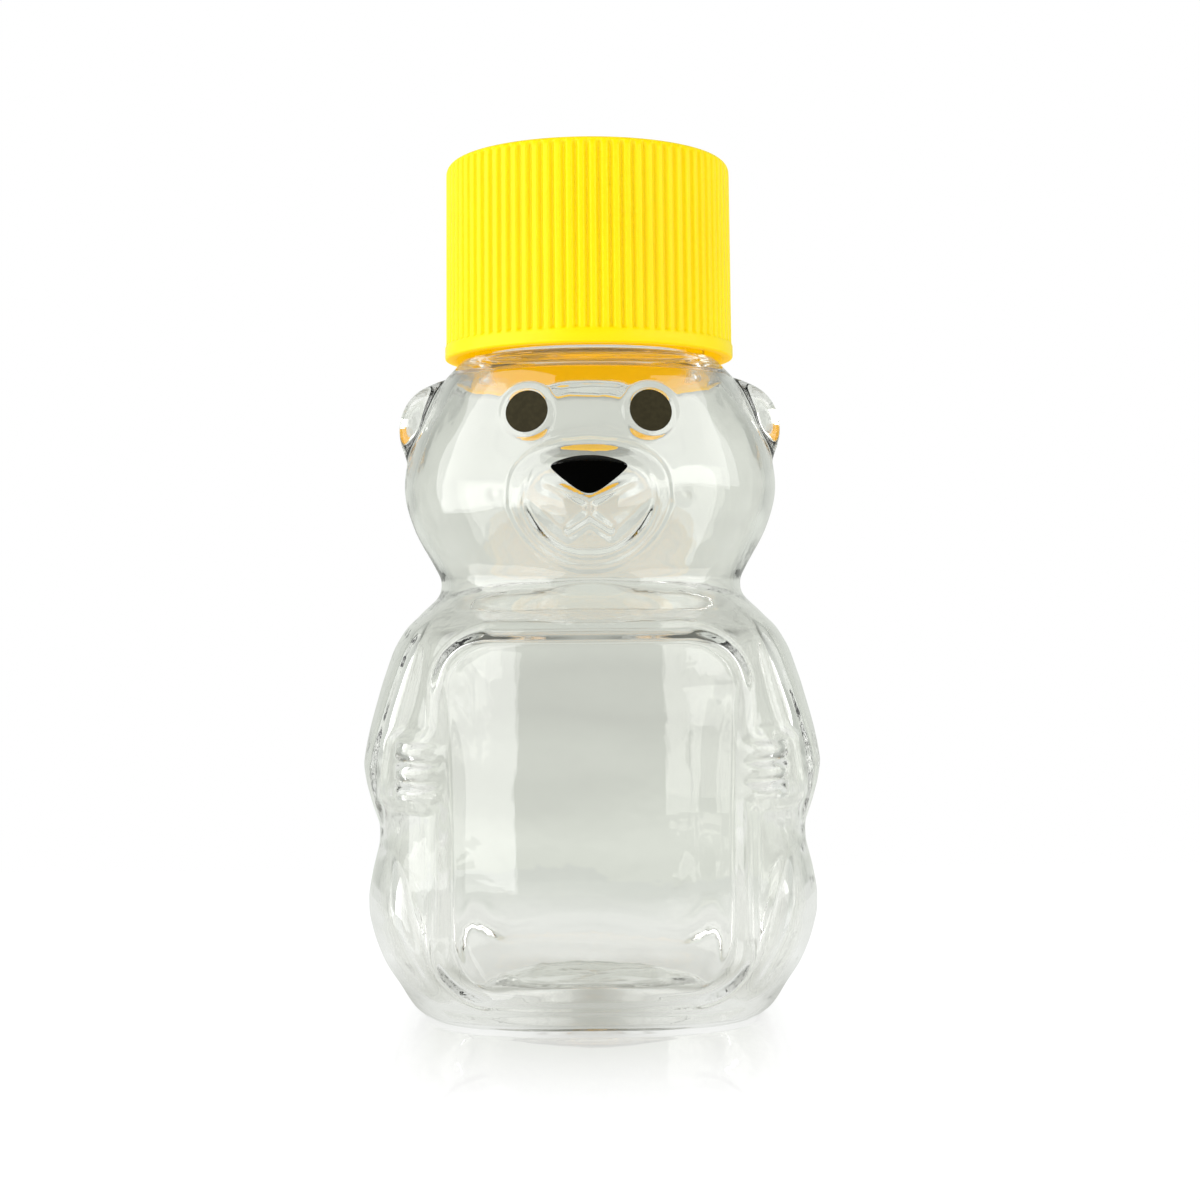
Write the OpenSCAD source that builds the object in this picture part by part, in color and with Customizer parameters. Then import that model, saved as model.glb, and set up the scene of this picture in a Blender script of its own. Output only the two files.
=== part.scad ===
// Honey bear bottle: a small clear blow-moulded bottle in the shape of a sitting bear,
// with a ribbed screw cap, a foam liner in the cap, and painted eyes and nose.
// Millimetres. The bottle stands on Z = 0, its neck axis is Z, and its face looks along -Y.

/* [Bottle] */
// Height of the crown, where the head meets the neck
crown_z = 59.2; // [55:0.1:64]
// Half of the belly's width, which sets every width and depth of the body and the head
belly_half = 19.3; // [18.4:0.1:20.8]
// Thickness of the bottle's wall
wall = 0.75; // [0.6:0.05:1]
// Height of the push-up in the middle of the base
push_up = 2; // [1:0.1:3]
// Radius of the push-up's flat middle
push_up_r = 10.2; // [8:0.1:11]

/* [Neck] */
// Radius of the neck at the root of its thread
neck_r = 10.72; // [10.6:0.01:10.9]
// Thickness of the neck's wall, from the bore to the root of the thread
neck_wall = 1.72; // [1.5:0.01:2.6]
// Height of the neck above the crown
neck_h = 15.8; // [15.5:0.1:18]
// Height of the thread's ridge above the neck
thread_h = 1.03; // [0.8:0.01:1.05]
// Pitch of the thread, 8 threads to the inch
pitch = 3.175; // [3:0.005:3.2]
// Turns of thread on the neck
neck_turns = 1.5; // [1.25:0.25:1.75]
// Depth of the thread's upper end below the rim
thread_start = 2; // [1.8:0.1:2.4]

/* [Cap] */
// Thickness of the cap's wall at the top, from its bore to the ribs' crests
cap_wall = 1.05; // [0.95:0.01:1.4]
// Growth of the ribs' outer radius down to the plain band
cap_draft = 0.14; // [0:0.01:0.2]
// How far the plain band stands out from the ribs
band_step = 0.1; // [0.05:0.01:0.3]
// Height of the plain band at the cap's lower edge
band_h = 1.2; // [0.8:0.1:2]
// Depth of the grooves between the ribs
rib_depth = 0.26; // [0.15:0.01:0.3]
// Number of ribs round the cap
rib_count = 80; // [60:1:90]
// Radius of the edge round the cap's top
cap_edge_r = 0.9; // [0.7:0.1:1.2]
// Thickness of the cap's top
cap_top = 1.4; // [1:0.1:2]
// Clearance between the neck's thread crest and the cap's wall
cap_clearance = 0.25; // [0.2:0.01:0.35]
// Gap between the cap's lower edge and the crown
cap_gap = 0.3; // [0.2:0.1:1]
// Turns of thread in the cap
cap_turns = 1.75; // [1.5:0.25:2]
// Gap between the flanks of the two threads, on the side that bears
flank_gap = 0.3; // [0.2:0.05:0.4]

/* [Liner] */
// Thickness of the foam liner
liner_t = 1; // [0.8:0.1:1.4]
// Gap between the liner's edge and the cap
liner_gap = 0.2; // [0.15:0.05:0.4]

/* [Face] */
// Radius of a painted eye
eye_r = 1.87; // [1.6:0.01:2.1]
// Distance from the face's middle to each eye
eye_x = 5.3; // [4.8:0.1:5.8]
// Height of the eyes below the crown
eye_drop = 5.7; // [5.2:0.1:6.2]
// Thickness of the paint of the eyes and the nose
paint_t = 0.15; // [0.1:0.01:0.25]
// Width of the boss that shows round each eye
boss_rim = 0.42; // [0.3:0.01:0.6]
// Half of the nose's width
nose_half = 3.25; // [3:0.05:3.5]
// Height of the nose from its arched top to its tip
nose_h = 3.4; // [3:0.1:3.8]
// Height of the nose's tip below the crown
nose_drop = 13.1; // [12.8:0.1:13.4]
// Half of the muzzle's width
muzzle_half = 6.45; // [6.2:0.05:6.7]
// Half of the muzzle's height
muzzle_tall = 5; // [4.8:0.1:5.2]
// Height of the muzzle's middle below the crown
muzzle_drop = 13.8; // [13.4:0.1:14.2]
// How far the muzzle stands out from the neck's axis
muzzle_front = 17.3; // [17:0.1:17.6]
// Radius of the grooves that draw the mouth
mouth_r = 0.55; // [0.4:0.05:0.7]

/* [Paws] */
// Number of fingers on each paw
finger_count = 3; // [2:1:4]
// Distance from one finger to the next
finger_pitch = 1.73; // [1.4:0.01:1.9]
// Radius of a finger
finger_r = 0.85; // [0.7:0.05:0.9]
// How far a finger stands out of the paw
finger_proud = 0.35; // [0.2:0.05:0.5]

/* [Label panel] */
// Half of the label panel's width
panel_half = 13.1; // [12:0.1:13.5]
// Height of the panel's lower edge
panel_low = 3.5; // [3:0.1:5]
// Height of the panel's upper edge
panel_high = 34.3; // [33:0.1:34.8]
// Radius of the panel's corners
panel_corner = 5; // [3:0.1:6]
// Radius of the panel's gentle curve, seen from above
panel_curve = 30; // [26:1:40]
// Depth of the panel in the middle of the belly
panel_depth = 0.6; // [0.4:0.05:0.8]

/* [Hidden] */
$fn = 96;

bore_r = neck_r - neck_wall;
// Width of the crown's flat round the neck, and how far the bore opens out below it
crown_step = 0.48;
bore_flare = 0.6;

// The body's sections: height in percent of the crown's, then half width, front and back half
// depth in percent of the belly's half width, and the exponent that makes a section square
// (2 is round). The last two follow the neck.
sections = [
    [-1, 80.3, 61.1, 61.1, 3], [1, 83.4, 69.4, 69.4, 3], [4, 88.8, 83.9, 83.9, 2.9],
    [9, 96.6, 91.2, 91.2, 2.8], [18, 99.5, 93.3, 93.3, 2.7], [27, 100, 93.3, 93.3, 2.7],
    [40, 98.4, 93.3, 93.3, 2.7], [51, 91.7, 92.7, 92.7, 2.7], [58.5, 85.8, 91.2, 91.2, 2.6],
    [61.2, 79.8, 82.9, 82.9, 2.4], [63.7, 72.3, 70.5, 70.5, 2.2], [66, 71, 64.8, 64.8, 2.1],
    [68, 73.6, 67.4, 68.4, 2], [74, 83.4, 74.1, 76.7, 2], [80, 88.1, 77.7, 81.3, 2],
    [86, 85.5, 77.2, 80.8, 2], [92, 77.2, 72, 74.6, 2], [96.5, 70.5, 67.9, 68.9, 2],
    for (top = [[99, crown_step + 1.1], [101, crown_step]])
        let (w = (neck_r + top[1]) / belly_half * 100) [top[0], w, w, w, 2]
];

// Widths and depths are given in percent of the belly's half width, heights in percent of the crown's
function across(share) = share * belly_half / 100;
function up(share) = share * crown_z / 100;
function sized(v) = [across(v[0]), across(v[1]), up(v[2])];

// Rounded forms, each on the bear's left side and mirrored to its right: centre and half axes in
// those shares, and tilt about X and about Z: upper arm, forearm, paw, thigh and foot, then the ear
limbs = [for (form = [
    [[76.7, -2.1, 41.9], [28.5, 26.9, 17.6], [5, 0]],
    [[83.9, -16.6, 37.5], [24.4, 42.5, 7.8], [3, -6]],
    [[67.4, -56, 38.3], [22.3, 23.3, 5.2], [0, 0]],
    [[73.6, -18.7, 18.1], [33.2, 48.7, 9.5], [-6, -4]],
    [[60.1, -47.7, 7.8], [22.3, 22.8, 7.4], [0, 0]]
]) [sized(form[0]), sized(form[1]), form[2]]];
paw = limbs[2];
ear = [sized([69.4, 2.1, 89.7]), sized([22.5, 11.9, 7.8]), [0, 0]];

limb_blend = 0.9;
ear_blend = 0.5;
muzzle_blend = 0.5;

// The inner skin's insets in wall thicknesses, which allow for the corners that its facets cut
facet_share = 1.12;
muzzle_share = 1.4;

columns = 64;
inner_columns = 38;
// Sides of the bottle's round features and of its small rods
neck_sides = 48;
rod_sides = 13;
// How far the columns crowd together at the face, the ears and the back
crowding = 0.42;

cap_top_z = crown_z + neck_h + liner_t + cap_top;
rim_z = crown_z + neck_h;
cap_low_z = crown_z + cap_gap;
thread_r = neck_r + thread_h;
// Half widths of both threads' ridges at the root and the crest
ridge_root = 0.92;
ridge_crest = 0.4;
// Extra run along the thread for a gap measured across its sloping flank
flank_share = 0.6;
// How far the cap's ridge lies below the neck's, so that their bearing flanks keep their gap
thread_drop = ridge_root + ridge_crest + flank_gap * flank_share;
// Angle at which both threads start, clear of the bottle's middle plane
thread_seam = 25;
cap_bore_r = thread_r + cap_clearance;
cap_r = cap_bore_r + cap_wall;
// Gap between the cap's thread crest and the neck at the root of its thread
crest_gap = 0.33;
// The cap's mouth widens by a lead-in, and a bead under the roof holds the liner
lead_in = 0.35;
lead_h = 0.8;
bead_in = 0.55;
bead_slope = 0.3;
bead_flat = 0.2;
// Overlap of pieces that are joined, and of cutters past what they cut
lap = 0.2;
cap_thread_h = cap_clearance + thread_h - crest_gap;
liner_r = cap_bore_r - liner_gap - wall / 5;
belly_y = across(93.3);
// Where the eyes' bosses and the nose's pad stand out to, and how they lean
face_y = across(71.25);
eye_turn = 16;
eye_tilt = 14;
nose_y = muzzle_front;
nose_tilt = 18;
muzzle_z = crown_z - muzzle_drop;
// Where the muzzle leaves the head, how much it narrows to the chin and how much it leans back
muzzle_root = across(57);
muzzle_taper = 0.045;
muzzle_lean = 0.1;
// Depth of the bosses and the pad into the face, and how far the pad shows round the nose
pad_depth = 1.2;
pad_rim = 0.35;
// The fold's and the outer lips' radius as shares of the mouth's grooves
fold_share = 0.85;
lip_share = 0.92;
panel_y = belly_y - panel_depth;

// Smooth maximum of two radii, blended over a distance k
function blend(a, b, k) = let (h = max(k - abs(a - b), 0) / k) max(a, b) + h * h * k / 4;

// Value i of the sections at a height, along a smooth curve through them
function tangent(j, i) = let (
    lo = sections[max(j - 1, 0)],
    hi = sections[min(j + 1, len(sections) - 1)]
) (hi[i] - lo[i]) / (hi[0] - lo[0]);
function section_index(u, j = 0) =
    j >= len(sections) - 2 || u < sections[j + 1][0] ? j : section_index(u, j + 1);
function section_value(u, i) = let (
    j = section_index(u),
    p = sections[j],
    q = sections[j + 1],
    w = q[0] - p[0],
    t = min(max((u - p[0]) / w, 0), 1)
) p[i] * (1 + 2 * t) * pow(1 - t, 2) + tangent(j, i) * w * t * pow(1 - t, 2)
    + q[i] * t * t * (3 - 2 * t) + tangent(j + 1, i) * w * t * t * (t - 1);

// Radius of the trunk and head at an angle and a height
function trunk_r(a, z) = let (
    u = z / crown_z * 100,
    n = section_value(u, 4),
    half = across(section_value(u, 1)),
    depth = across(section_value(u, sin(a) < 0 ? 2 : 3))
) pow(pow(abs(cos(a)) / half, n) + pow(abs(sin(a)) / depth, n), -1 / n);

// Turn a vector back by a tilt about Z and then about X, and measure it in half axes
function in_axes(v, e) = let (
    tx = e[2][0],
    tz = e[2][1],
    x = v[0] * cos(tz) + v[1] * sin(tz),
    y = -v[0] * sin(tz) + v[1] * cos(tz),
    y2 = y * cos(tx) + v[2] * sin(tx),
    z2 = -y * sin(tx) + v[2] * cos(tx)
) [x / e[1][0], y2 / e[1][1], z2 / e[1][2]];

// Distance from the neck axis to the far side of an ellipsoid, falling away where the ray misses it
function reach(a, z, e) = let (
    o = in_axes([0, 0, z] - e[0], e),
    d = in_axes([abs(cos(a)), sin(a), 0], e),
    k = d * d,
    half_b = o * d,
    disc = half_b * half_b - k * (o * o - 1)
) disc >= 0 ? (-half_b + sqrt(disc)) / k : (-half_b - 2 * sqrt(-disc)) / k;

function limbed(a, z, r, i = 0) =
    i == len(limbs) ? r : limbed(a, z, blend(r, reach(a, z, limbs[i]), limb_blend), i + 1);

// Radius of the skin without the muzzle, at an angle and a height
function skin_r(a, z) = blend(limbed(a, z, trunk_r(a, z)), reach(a, z, ear), ear_blend);

// How far forward the muzzle, or a skin inset in it, stands at a point of the face
function muzzle_out(x, z, inset = 0) = let (
    rise = z - muzzle_z,
    half = (muzzle_half - inset) * (1 + muzzle_taper * min(rise, 0)),
    share = 1 - pow(abs(x) / half, 2.2) - pow(abs(rise) / (muzzle_tall - inset), rise > 0 ? 3.2 : 2.2),
    tip = muzzle_front - inset - muzzle_lean * max(rise, 0)
) share > 0 ? muzzle_root + (tip - muzzle_root) * pow(share, 0.42) : 0;

// A point of the skin, moved forward onto the muzzle
function faced(p, inset = 0) =
    p[1] > -muzzle_root ? p : [p[0], -blend(-p[1], muzzle_out(p[0], p[2], inset), muzzle_blend), p[2]];

// Angle of a column, measured from the face
function column_angle(i, n) = let (t = i / n)
    -90 + 360 * t - crowding * 360 / (8 * PI) * sin(4 * 360 * t);

// Distance from the neck axis to the curved faces that the label panels lie on
function panel_reach(a) = let (c = panel_curve - panel_y)
    sqrt(panel_curve * panel_curve - pow(c * cos(a), 2)) - c * abs(sin(a));

// One closed ring of points of the outer skin
function ring(z, n) = [
    for (i = [0 : n - 1]) let (a = column_angle(i, n), r = skin_r(a, z)) faced([r * cos(a), r * sin(a), z])
];
// One ring of the inner skin, a wall inside the outer one and inside the label panels
function inner_ring(z, n) = [
    for (i = [0 : n - 1]) let (
        a = column_angle(i, n),
        r = min(skin_r(a, z) - wall * facet_share, panel_reach(a) - wall)
    ) faced([r * cos(a), r * sin(a), z], wall * muzzle_share)
];
// One round ring
function round_ring(z, n, r) = [
    for (i = [0 : n - 1]) let (a = column_angle(i, n)) [r * cos(a), r * sin(a), z]
];
// One ring of the underside, a share of the way from the heel to the push-up
function foot_ring(z, n, share, inset = 0) = [
    for (i = [0 : n - 1]) let (
        a = column_angle(i, n),
        r = (skin_r(a, 0) - inset) * (1 - share) + push_up_r * share
    ) [r * cos(a), r * sin(a), z]
];

// A closed skin through rings that share one count of points
module skin(rings) {
    n = len(rings[0]);
    m = len(rings);
    points = [for (r = rings) each r];
    faces = [
        [for (i = [0 : n - 1]) i],
        for (j = [0 : m - 2]) for (i = [0 : n - 1]) let (
            p = j * n + i,
            q = j * n + (i + 1) % n
        ) each [[q, p, p + n], [q, p + n, q + n]],
        [for (i = [n - 1 : -1 : 0]) (m - 1) * n + i]
    ];
    polyhedron(points, faces);
}

// Heights of the rings of the outer skin and of the inner skin, in percent of the crown's
outer_rows = concat([0.4, 2, 4.1], [for (z = [6.6 : 3.4 : 59.8]) z],
    [61.6, 63.2, 64.6, 66, 67.4, 69], [for (z = [70.6 : 1.8 : 97.5]) z], [99.2]);
inner_rows = concat([4.4, 6.1, 8.4], [for (z = [12 : 4.2 : 58.5]) z], [61.5, 64, 66, 68.6],
    [for (z = [71.5 : 3 : 95.6]) z]);

// The underside's rings: height, and share of the way from the heel to the push-up
outer_base = [
    [push_up + lap / 2, 1], [push_up * 0.6, 0.75], [lap / 2, 0.35], [-lap / 2, 0.28], [-lap / 2, 0.03]
];
inner_base = [[push_up + lap / 2, 1], [push_up * 0.6, 0.75], [lap / 2, 0.3], [lap / 4, 0.12]];

module outer_skin() {
    skin(concat(
        [for (b = outer_base) foot_ring(b[0], columns, b[1])],
        [for (z = outer_rows) ring(up(z), columns)],
        [round_ring(crown_z, columns, neck_r + crown_step), round_ring(crown_z + lap, columns, neck_r - lap)]
    ));
}

module inner_skin() {
    skin(concat(
        [for (b = inner_base) foot_ring(b[0] + wall, inner_columns, b[1], wall)],
        [for (z = inner_rows) inner_ring(up(z), inner_columns)],
        [round_ring(crown_z - wall - lap, inner_columns, bore_r + bore_flare),
         round_ring(crown_z + lap / 2, inner_columns, bore_r - lap)]
    ));
}

// A helical ridge: root and crest radii, half widths at each, and turns from a start height down
module ridge(root, crest, root_half, crest_half, turns, top_z, start) {
    steps = round(turns * 30);
    fade = 5;
    section = function (j) let (
        t = j / steps,
        a = start - 360 * turns * t,
        z = top_z - pitch * turns * t,
        k = 0.12 + 0.88 * min(1, min(j, steps - j) / fade),
        c = root + (crest - root) * k,
        h = crest_half * (0.4 + 0.6 * k)
    ) [for (p = [[root, -root_half], [c, -h], [c, h], [root, root_half]])
        [p[0] * cos(a), p[0] * sin(a), z + p[1]]];
    points = [for (j = [0 : steps]) each section(j)];
    side = function (j, i) let (p = j * 4 + i, q = j * 4 + (i + 1) % 4) crest > root
        ? [[q, p, p + 4], [q, p + 4, q + 4]]
        : [[p, q, q + 4], [p, q + 4, p + 4]];
    first = [0, 1, 2, 3];
    last = [3, 2, 1, 0];
    faces = [
        crest > root ? first : last,
        for (j = [0 : steps - 1]) for (i = [0 : 3]) each side(j, i),
        [for (i = crest > root ? last : first) steps * 4 + i]
    ];
    polyhedron(points, faces);
}

// The block that cuts the front label panel: a rounded window outside the panel's curved face
module panel_cut() {
    difference() {
        rotate([90, 0, 0]) linear_extrude(panel_curve) panel_window();
        translate([0, panel_curve - panel_y, -1]) cylinder(r = panel_curve, h = crown_z, $fn = 180);
    }
}

module panel_window() {
    w = panel_half - panel_corner;
    lo = panel_low + panel_corner;
    hi = panel_high - panel_corner;
    translate([-w, panel_low]) square([2 * w, panel_high - panel_low]);
    translate([-panel_half, lo]) square([2 * panel_half, hi - lo]);
    for (x = [-w, w]) for (z = [lo, hi]) translate([x, z]) circle(panel_corner);
}

// Where the eye's boss stands, and how it is turned
module at_eye() {
    translate([eye_x, -face_y, crown_z - eye_drop])
        rotate([0, 0, eye_turn]) rotate([90 - eye_tilt, 0, 0]) children();
}

// Where the nose's pad stands, and how it is turned
module at_nose() {
    translate([0, -nose_y, crown_z - nose_drop]) rotate([90 - nose_tilt, 0, 0]) children();
}

// Outline of the nose with its tip at the origin: an arched top, straight sides and a round tip
module nose_outline(grow = 0) {
    top_y = nose_h * 0.72;
    tip_r = 0.55 + grow;
    arch = nose_h - top_y;
    arch_r = (nose_half * nose_half + arch * arch) / (2 * arch) + grow;
    corner = [nose_half + grow * 1.4, top_y + grow * 0.3];
    arch_half = asin(corner[0] / arch_r);
    mid_y = nose_h + grow - arch_r;
    polygon(concat(
        [for (a = [-arch_half : arch_half / 6 : arch_half]) [arch_r * sin(a), mid_y + arch_r * cos(a)]],
        [for (a = [-55 : -14 : -125]) [tip_r * cos(a), 0.55 + tip_r * sin(a)]]
    ));
}

module eye_boss() translate([0, 0, -pad_depth]) cylinder(r = eye_r + boss_rim, h = pad_depth);

// A round rod between two points, with rounded ends
module rod(from, to, r) {
    run = to - from;
    $fn = rod_sides;
    translate(from) rotate([0, acos(run[2] / norm(run)), atan2(run[1], run[0])])
        rotate_extrude() difference() {
            union() {
                square([r, norm(run)]);
                for (end = [0, norm(run)]) translate([0, end]) circle(r);
            }
            translate([-2 * r, -2 * r]) square([2 * r, norm(run) + 4 * r]);
        }
}

// A point over the muzzle's face, given in shares of its half width and half height
function on_muzzle(across_share, up_share) = let (
    x = across_share * muzzle_half,
    z = muzzle_z + up_share * muzzle_tall
) [x, -muzzle_out(x, z) - mouth_r / 3, z];

// The fold from the nose to the lips' middle, and the lips' line to both corners
module mouth_grooves() {
    middle = on_muzzle(0, -0.2);
    rod(on_muzzle(0, 0.2), middle, mouth_r * fold_share);
    for (side = [-1, 1]) {
        low = on_muzzle(side * 0.35, -0.5);
        rod(middle, low, mouth_r);
        rod(low, on_muzzle(side * 0.82, 0.04), mouth_r * lip_share);
    }
}

// The fingers across one paw
module fingers() {
    for (i = [0 : finger_count - 1]) let (z = paw[0][2] + (i - (finger_count - 1) / 2) * finger_pitch)
        rod(on_paw(0.3, z), on_paw(0.75, z), finger_r);
}

// A point inside the paw's front, from which a finger stands out
function on_paw(across_share, z) = let (
    rise = (z - paw[0][2]) / paw[1][2],
    depth = sqrt(max(1 - across_share * across_share - rise * rise, 0.05))
) [paw[0][0] + across_share * paw[1][0], paw[0][1] - paw[1][1] * depth + finger_r - finger_proud, z];

module bottle() color([0.86, 0.9, 0.88, 0.45]) {
    $fn = neck_sides;
    difference() {
        union() {
            difference() {
                outer_skin();
                panel_cut();
                mirror([0, 1, 0]) panel_cut();
            }
            translate([0, 0, crown_z - 1]) cylinder(r = neck_r, h = neck_h + 1);
            ridge(neck_r - lap, thread_r, ridge_root, ridge_crest, neck_turns, rim_z - thread_start,
                thread_seam);
            for (side = [0, 1]) mirror([side, 0, 0]) {
                at_eye() eye_boss();
                fingers();
            }
            at_nose() translate([0, 0, -pad_depth]) linear_extrude(pad_depth) nose_outline(pad_rim);
        }
        at_nose() linear_extrude(pad_depth) nose_outline(pad_rim);
        mouth_grooves();
        inner_skin();
        translate([0, 0, crown_z - 2]) cylinder(r = bore_r, h = neck_h + 3);
        translate([0, 0, -belly_half]) cube(2 * [2 * belly_half, 2 * belly_half, belly_half], center = true);
    }
}

// Radius of the ribs' crests at a height
function crest_r(z) = cap_r + cap_draft * (cap_top_z - z) / (cap_top_z - cap_low_z);

module cap_body() {
    band_r = cap_r + cap_draft + band_step;
    band_z = cap_low_z + band_h;
    rotate_extrude() difference() {
        union() {
            polygon([
                [0, cap_low_z], [crest_r(cap_low_z), cap_low_z],
                [crest_r(cap_top_z), cap_top_z - cap_edge_r],
                [crest_r(cap_top_z) - cap_edge_r, cap_top_z], [0, cap_top_z]
            ]);
            translate([cap_r - cap_edge_r, cap_top_z - cap_edge_r]) circle(cap_edge_r);
            translate([0, cap_low_z]) square([band_r, band_h]);
        }
        translate([-2 * cap_r, cap_low_z - 1]) square([2 * cap_r, cap_top_z]);
    }
}

// The grooves between the ribs: narrow wedges that stop at the plain band and run out at the top edge
module grooves() {
    step = 360 / rib_count;
    outer = cap_r + 1;
    floor_r = cap_r - rib_depth;
    for (i = [0 : rib_count - 1]) rotate([0, 0, i * step])
        translate([0, 0, cap_low_z + band_h])
            linear_extrude(cap_top_z - cap_low_z - band_h - cap_edge_r * 0.55)
                polygon([
                    [floor_r, -floor_r * tan(step * 0.14)], [outer, -outer * tan(step * 0.34)],
                    [outer, outer * tan(step * 0.34)], [floor_r, floor_r * tan(step * 0.14)]
                ]);
}

// What is hollow in the cap: the bore, a lead-in, and the liner's recess above its holding bead
module cap_hollow() {
    bead_z = rim_z - 2 * bead_slope - bead_flat / 4;
    bead_r = cap_bore_r - bead_in;
    mouth_r = cap_bore_r + lead_in;
    rotate_extrude() polygon([
        [0, cap_low_z - 1], [mouth_r, cap_low_z - 1], [mouth_r, cap_low_z],
        [cap_bore_r, cap_low_z + lead_h], [cap_bore_r, bead_z - bead_slope], [bead_r, bead_z],
        [bead_r, bead_z + bead_flat], [cap_bore_r, bead_z + bead_flat + bead_slope],
        [cap_bore_r, rim_z + liner_t], [0, rim_z + liner_t]
    ]);
}

module cap() color("gold") {
    difference() {
        cap_body();
        grooves();
        cap_hollow();
    }
    ridge(cap_bore_r + lap, cap_bore_r - cap_thread_h, ridge_root, ridge_crest, cap_turns,
        rim_z - thread_start - thread_drop, thread_seam);
}

module liner() color("whitesmoke")
    translate([0, 0, rim_z]) cylinder(r = liner_r, h = liner_t);

module eye() color([0.12, 0.12, 0.1]) at_eye() cylinder(r = eye_r, h = paint_t);
module left_eye() eye();
module right_eye() mirror([1, 0, 0]) eye();

module nose() color("black") at_nose() linear_extrude(paint_t) nose_outline();

bottle();
cap();
liner();
left_eye();
right_eye();
nose();
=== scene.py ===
"""Dress a small clear honey bear bottle: blown PET body, ribbed screw cap, foam liner and painted face.

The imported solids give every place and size; this script lays finer meshes over them in the same frame,
gives each piece the finish of its real material, and lights them on a pale floor in a soft studio.
Lengths inside the classes are in millimetres and are turned to metres when a mesh is made.
"""

from __future__ import annotations

import logging
import math
from dataclasses import dataclass, field
from enum import Enum

import bpy
import numpy as np
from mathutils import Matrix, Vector

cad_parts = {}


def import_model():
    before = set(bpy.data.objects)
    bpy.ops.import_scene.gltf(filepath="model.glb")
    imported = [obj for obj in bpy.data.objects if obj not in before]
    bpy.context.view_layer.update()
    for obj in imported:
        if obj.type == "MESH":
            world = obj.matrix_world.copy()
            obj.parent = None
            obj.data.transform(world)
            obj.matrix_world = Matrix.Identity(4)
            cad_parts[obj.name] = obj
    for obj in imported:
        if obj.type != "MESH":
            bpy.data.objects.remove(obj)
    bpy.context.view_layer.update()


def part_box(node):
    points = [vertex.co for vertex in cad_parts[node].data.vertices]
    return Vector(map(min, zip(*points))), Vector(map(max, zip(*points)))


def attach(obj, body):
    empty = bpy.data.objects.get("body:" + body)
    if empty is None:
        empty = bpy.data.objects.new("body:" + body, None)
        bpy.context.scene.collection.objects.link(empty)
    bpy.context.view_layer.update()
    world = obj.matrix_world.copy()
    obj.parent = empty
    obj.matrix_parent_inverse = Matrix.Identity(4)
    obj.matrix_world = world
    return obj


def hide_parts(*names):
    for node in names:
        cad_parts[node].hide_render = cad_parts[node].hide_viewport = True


log = logging.getLogger("honey_bear")

MM = 0.001
NOISE = "ShaderNodeTexNoise"
MATH = "ShaderNodeMath"
MAP_RANGE = "ShaderNodeMapRange"
MIX = "ShaderNodeMix"
MIX_SHADER = "ShaderNodeMixShader"
BUMP = "ShaderNodeBump"
VECTOR_MATH = "ShaderNodeVectorMath"
SEPARATE = "ShaderNodeSeparateXYZ"
RAMP = "ShaderNodeValToRGB"
EMISSION = "ShaderNodeEmission"
BACKGROUND = "ShaderNodeBackground"
# The colour sockets of a mix node, which go by number: its two inputs and its output
FIRST, SECOND, MIXED = 6, 7, 2

Vec3 = tuple[float, float, float]
Colour = tuple[float, float, float, float]
# A range, a point of a profile or of the face, or any other two numbers that go together
Pair = tuple[float, float]
Stops = tuple[tuple[float, str], ...]


class Slot(Enum):
    """The record's material slots."""

    PET = "clear_pet"
    POLYPROPYLENE = "yellow_polypropylene"
    FOAM = "foam_liner"
    ENAMEL = "black_enamel"


def linear(code: str) -> Colour:
    """Turn an sRGB hex colour to linear light.

    Args:
        code: The colour as six hex digits.

    Returns:
        Red, green and blue as linear values, and 1 for a solid colour.
    """
    channels = [int(code[i : i + 2], 16) / 255 for i in (0, 2, 4)]
    light = [c / 12.92 if c <= 0.04045 else ((c + 0.055) / 1.055) ** 2.4 for c in channels]
    return (light[0], light[1], light[2], 1.0)


def add_node(
    tree: bpy.types.NodeTree,
    kind: str,
    settings: dict[str | int, object] | None = None,
    links: dict[str | int, bpy.types.NodeSocket] | None = None,
) -> bpy.types.Node:
    """Add a node with its settings and its incoming links.

    Args:
        tree: The node tree that gets the node.
        kind: The node's type name, such as ShaderNodeTexNoise.
        settings: Values for the node's properties, or for its inputs by name or index.
        links: Output sockets to join to the node's inputs, by input name or index.

    Returns:
        The new node.
    """
    node = tree.nodes.new(kind)
    for name, value in (settings or {}).items():
        if isinstance(name, str) and hasattr(node, name):
            setattr(node, name, value)
        else:
            node.inputs[name].default_value = value
    for name, socket in (links or {}).items():
        tree.links.new(socket, node.inputs[name])
    return node


def smoothstep(value: np.ndarray, low: float, high: float) -> np.ndarray:
    """Ease from 0 at low to 1 at high.

    Args:
        value: The values to ease.
        low: Where the rise starts.
        high: Where it ends.

    Returns:
        Values from 0 to 1.
    """
    t = np.clip((value - low) / (high - low), 0.0, 1.0)
    return t * t * (3.0 - 2.0 * t)


def blend(a: np.ndarray, b: np.ndarray, width: float) -> np.ndarray:
    """Take the larger of two surfaces, with a fillet of about the given width where they meet."""
    h = np.maximum(width - np.abs(a - b), 0.0) / width
    return np.maximum(a, b) + h * h * width / 4.0


def bell(distance: np.ndarray, half: float) -> np.ndarray:
    """Rise from 0 at the half width to 1 in the middle of a bead or groove."""
    t = np.clip(1.0 - np.abs(distance) / half, 0.0, 1.0)
    return t * t * (3.0 - 2.0 * t)


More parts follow.
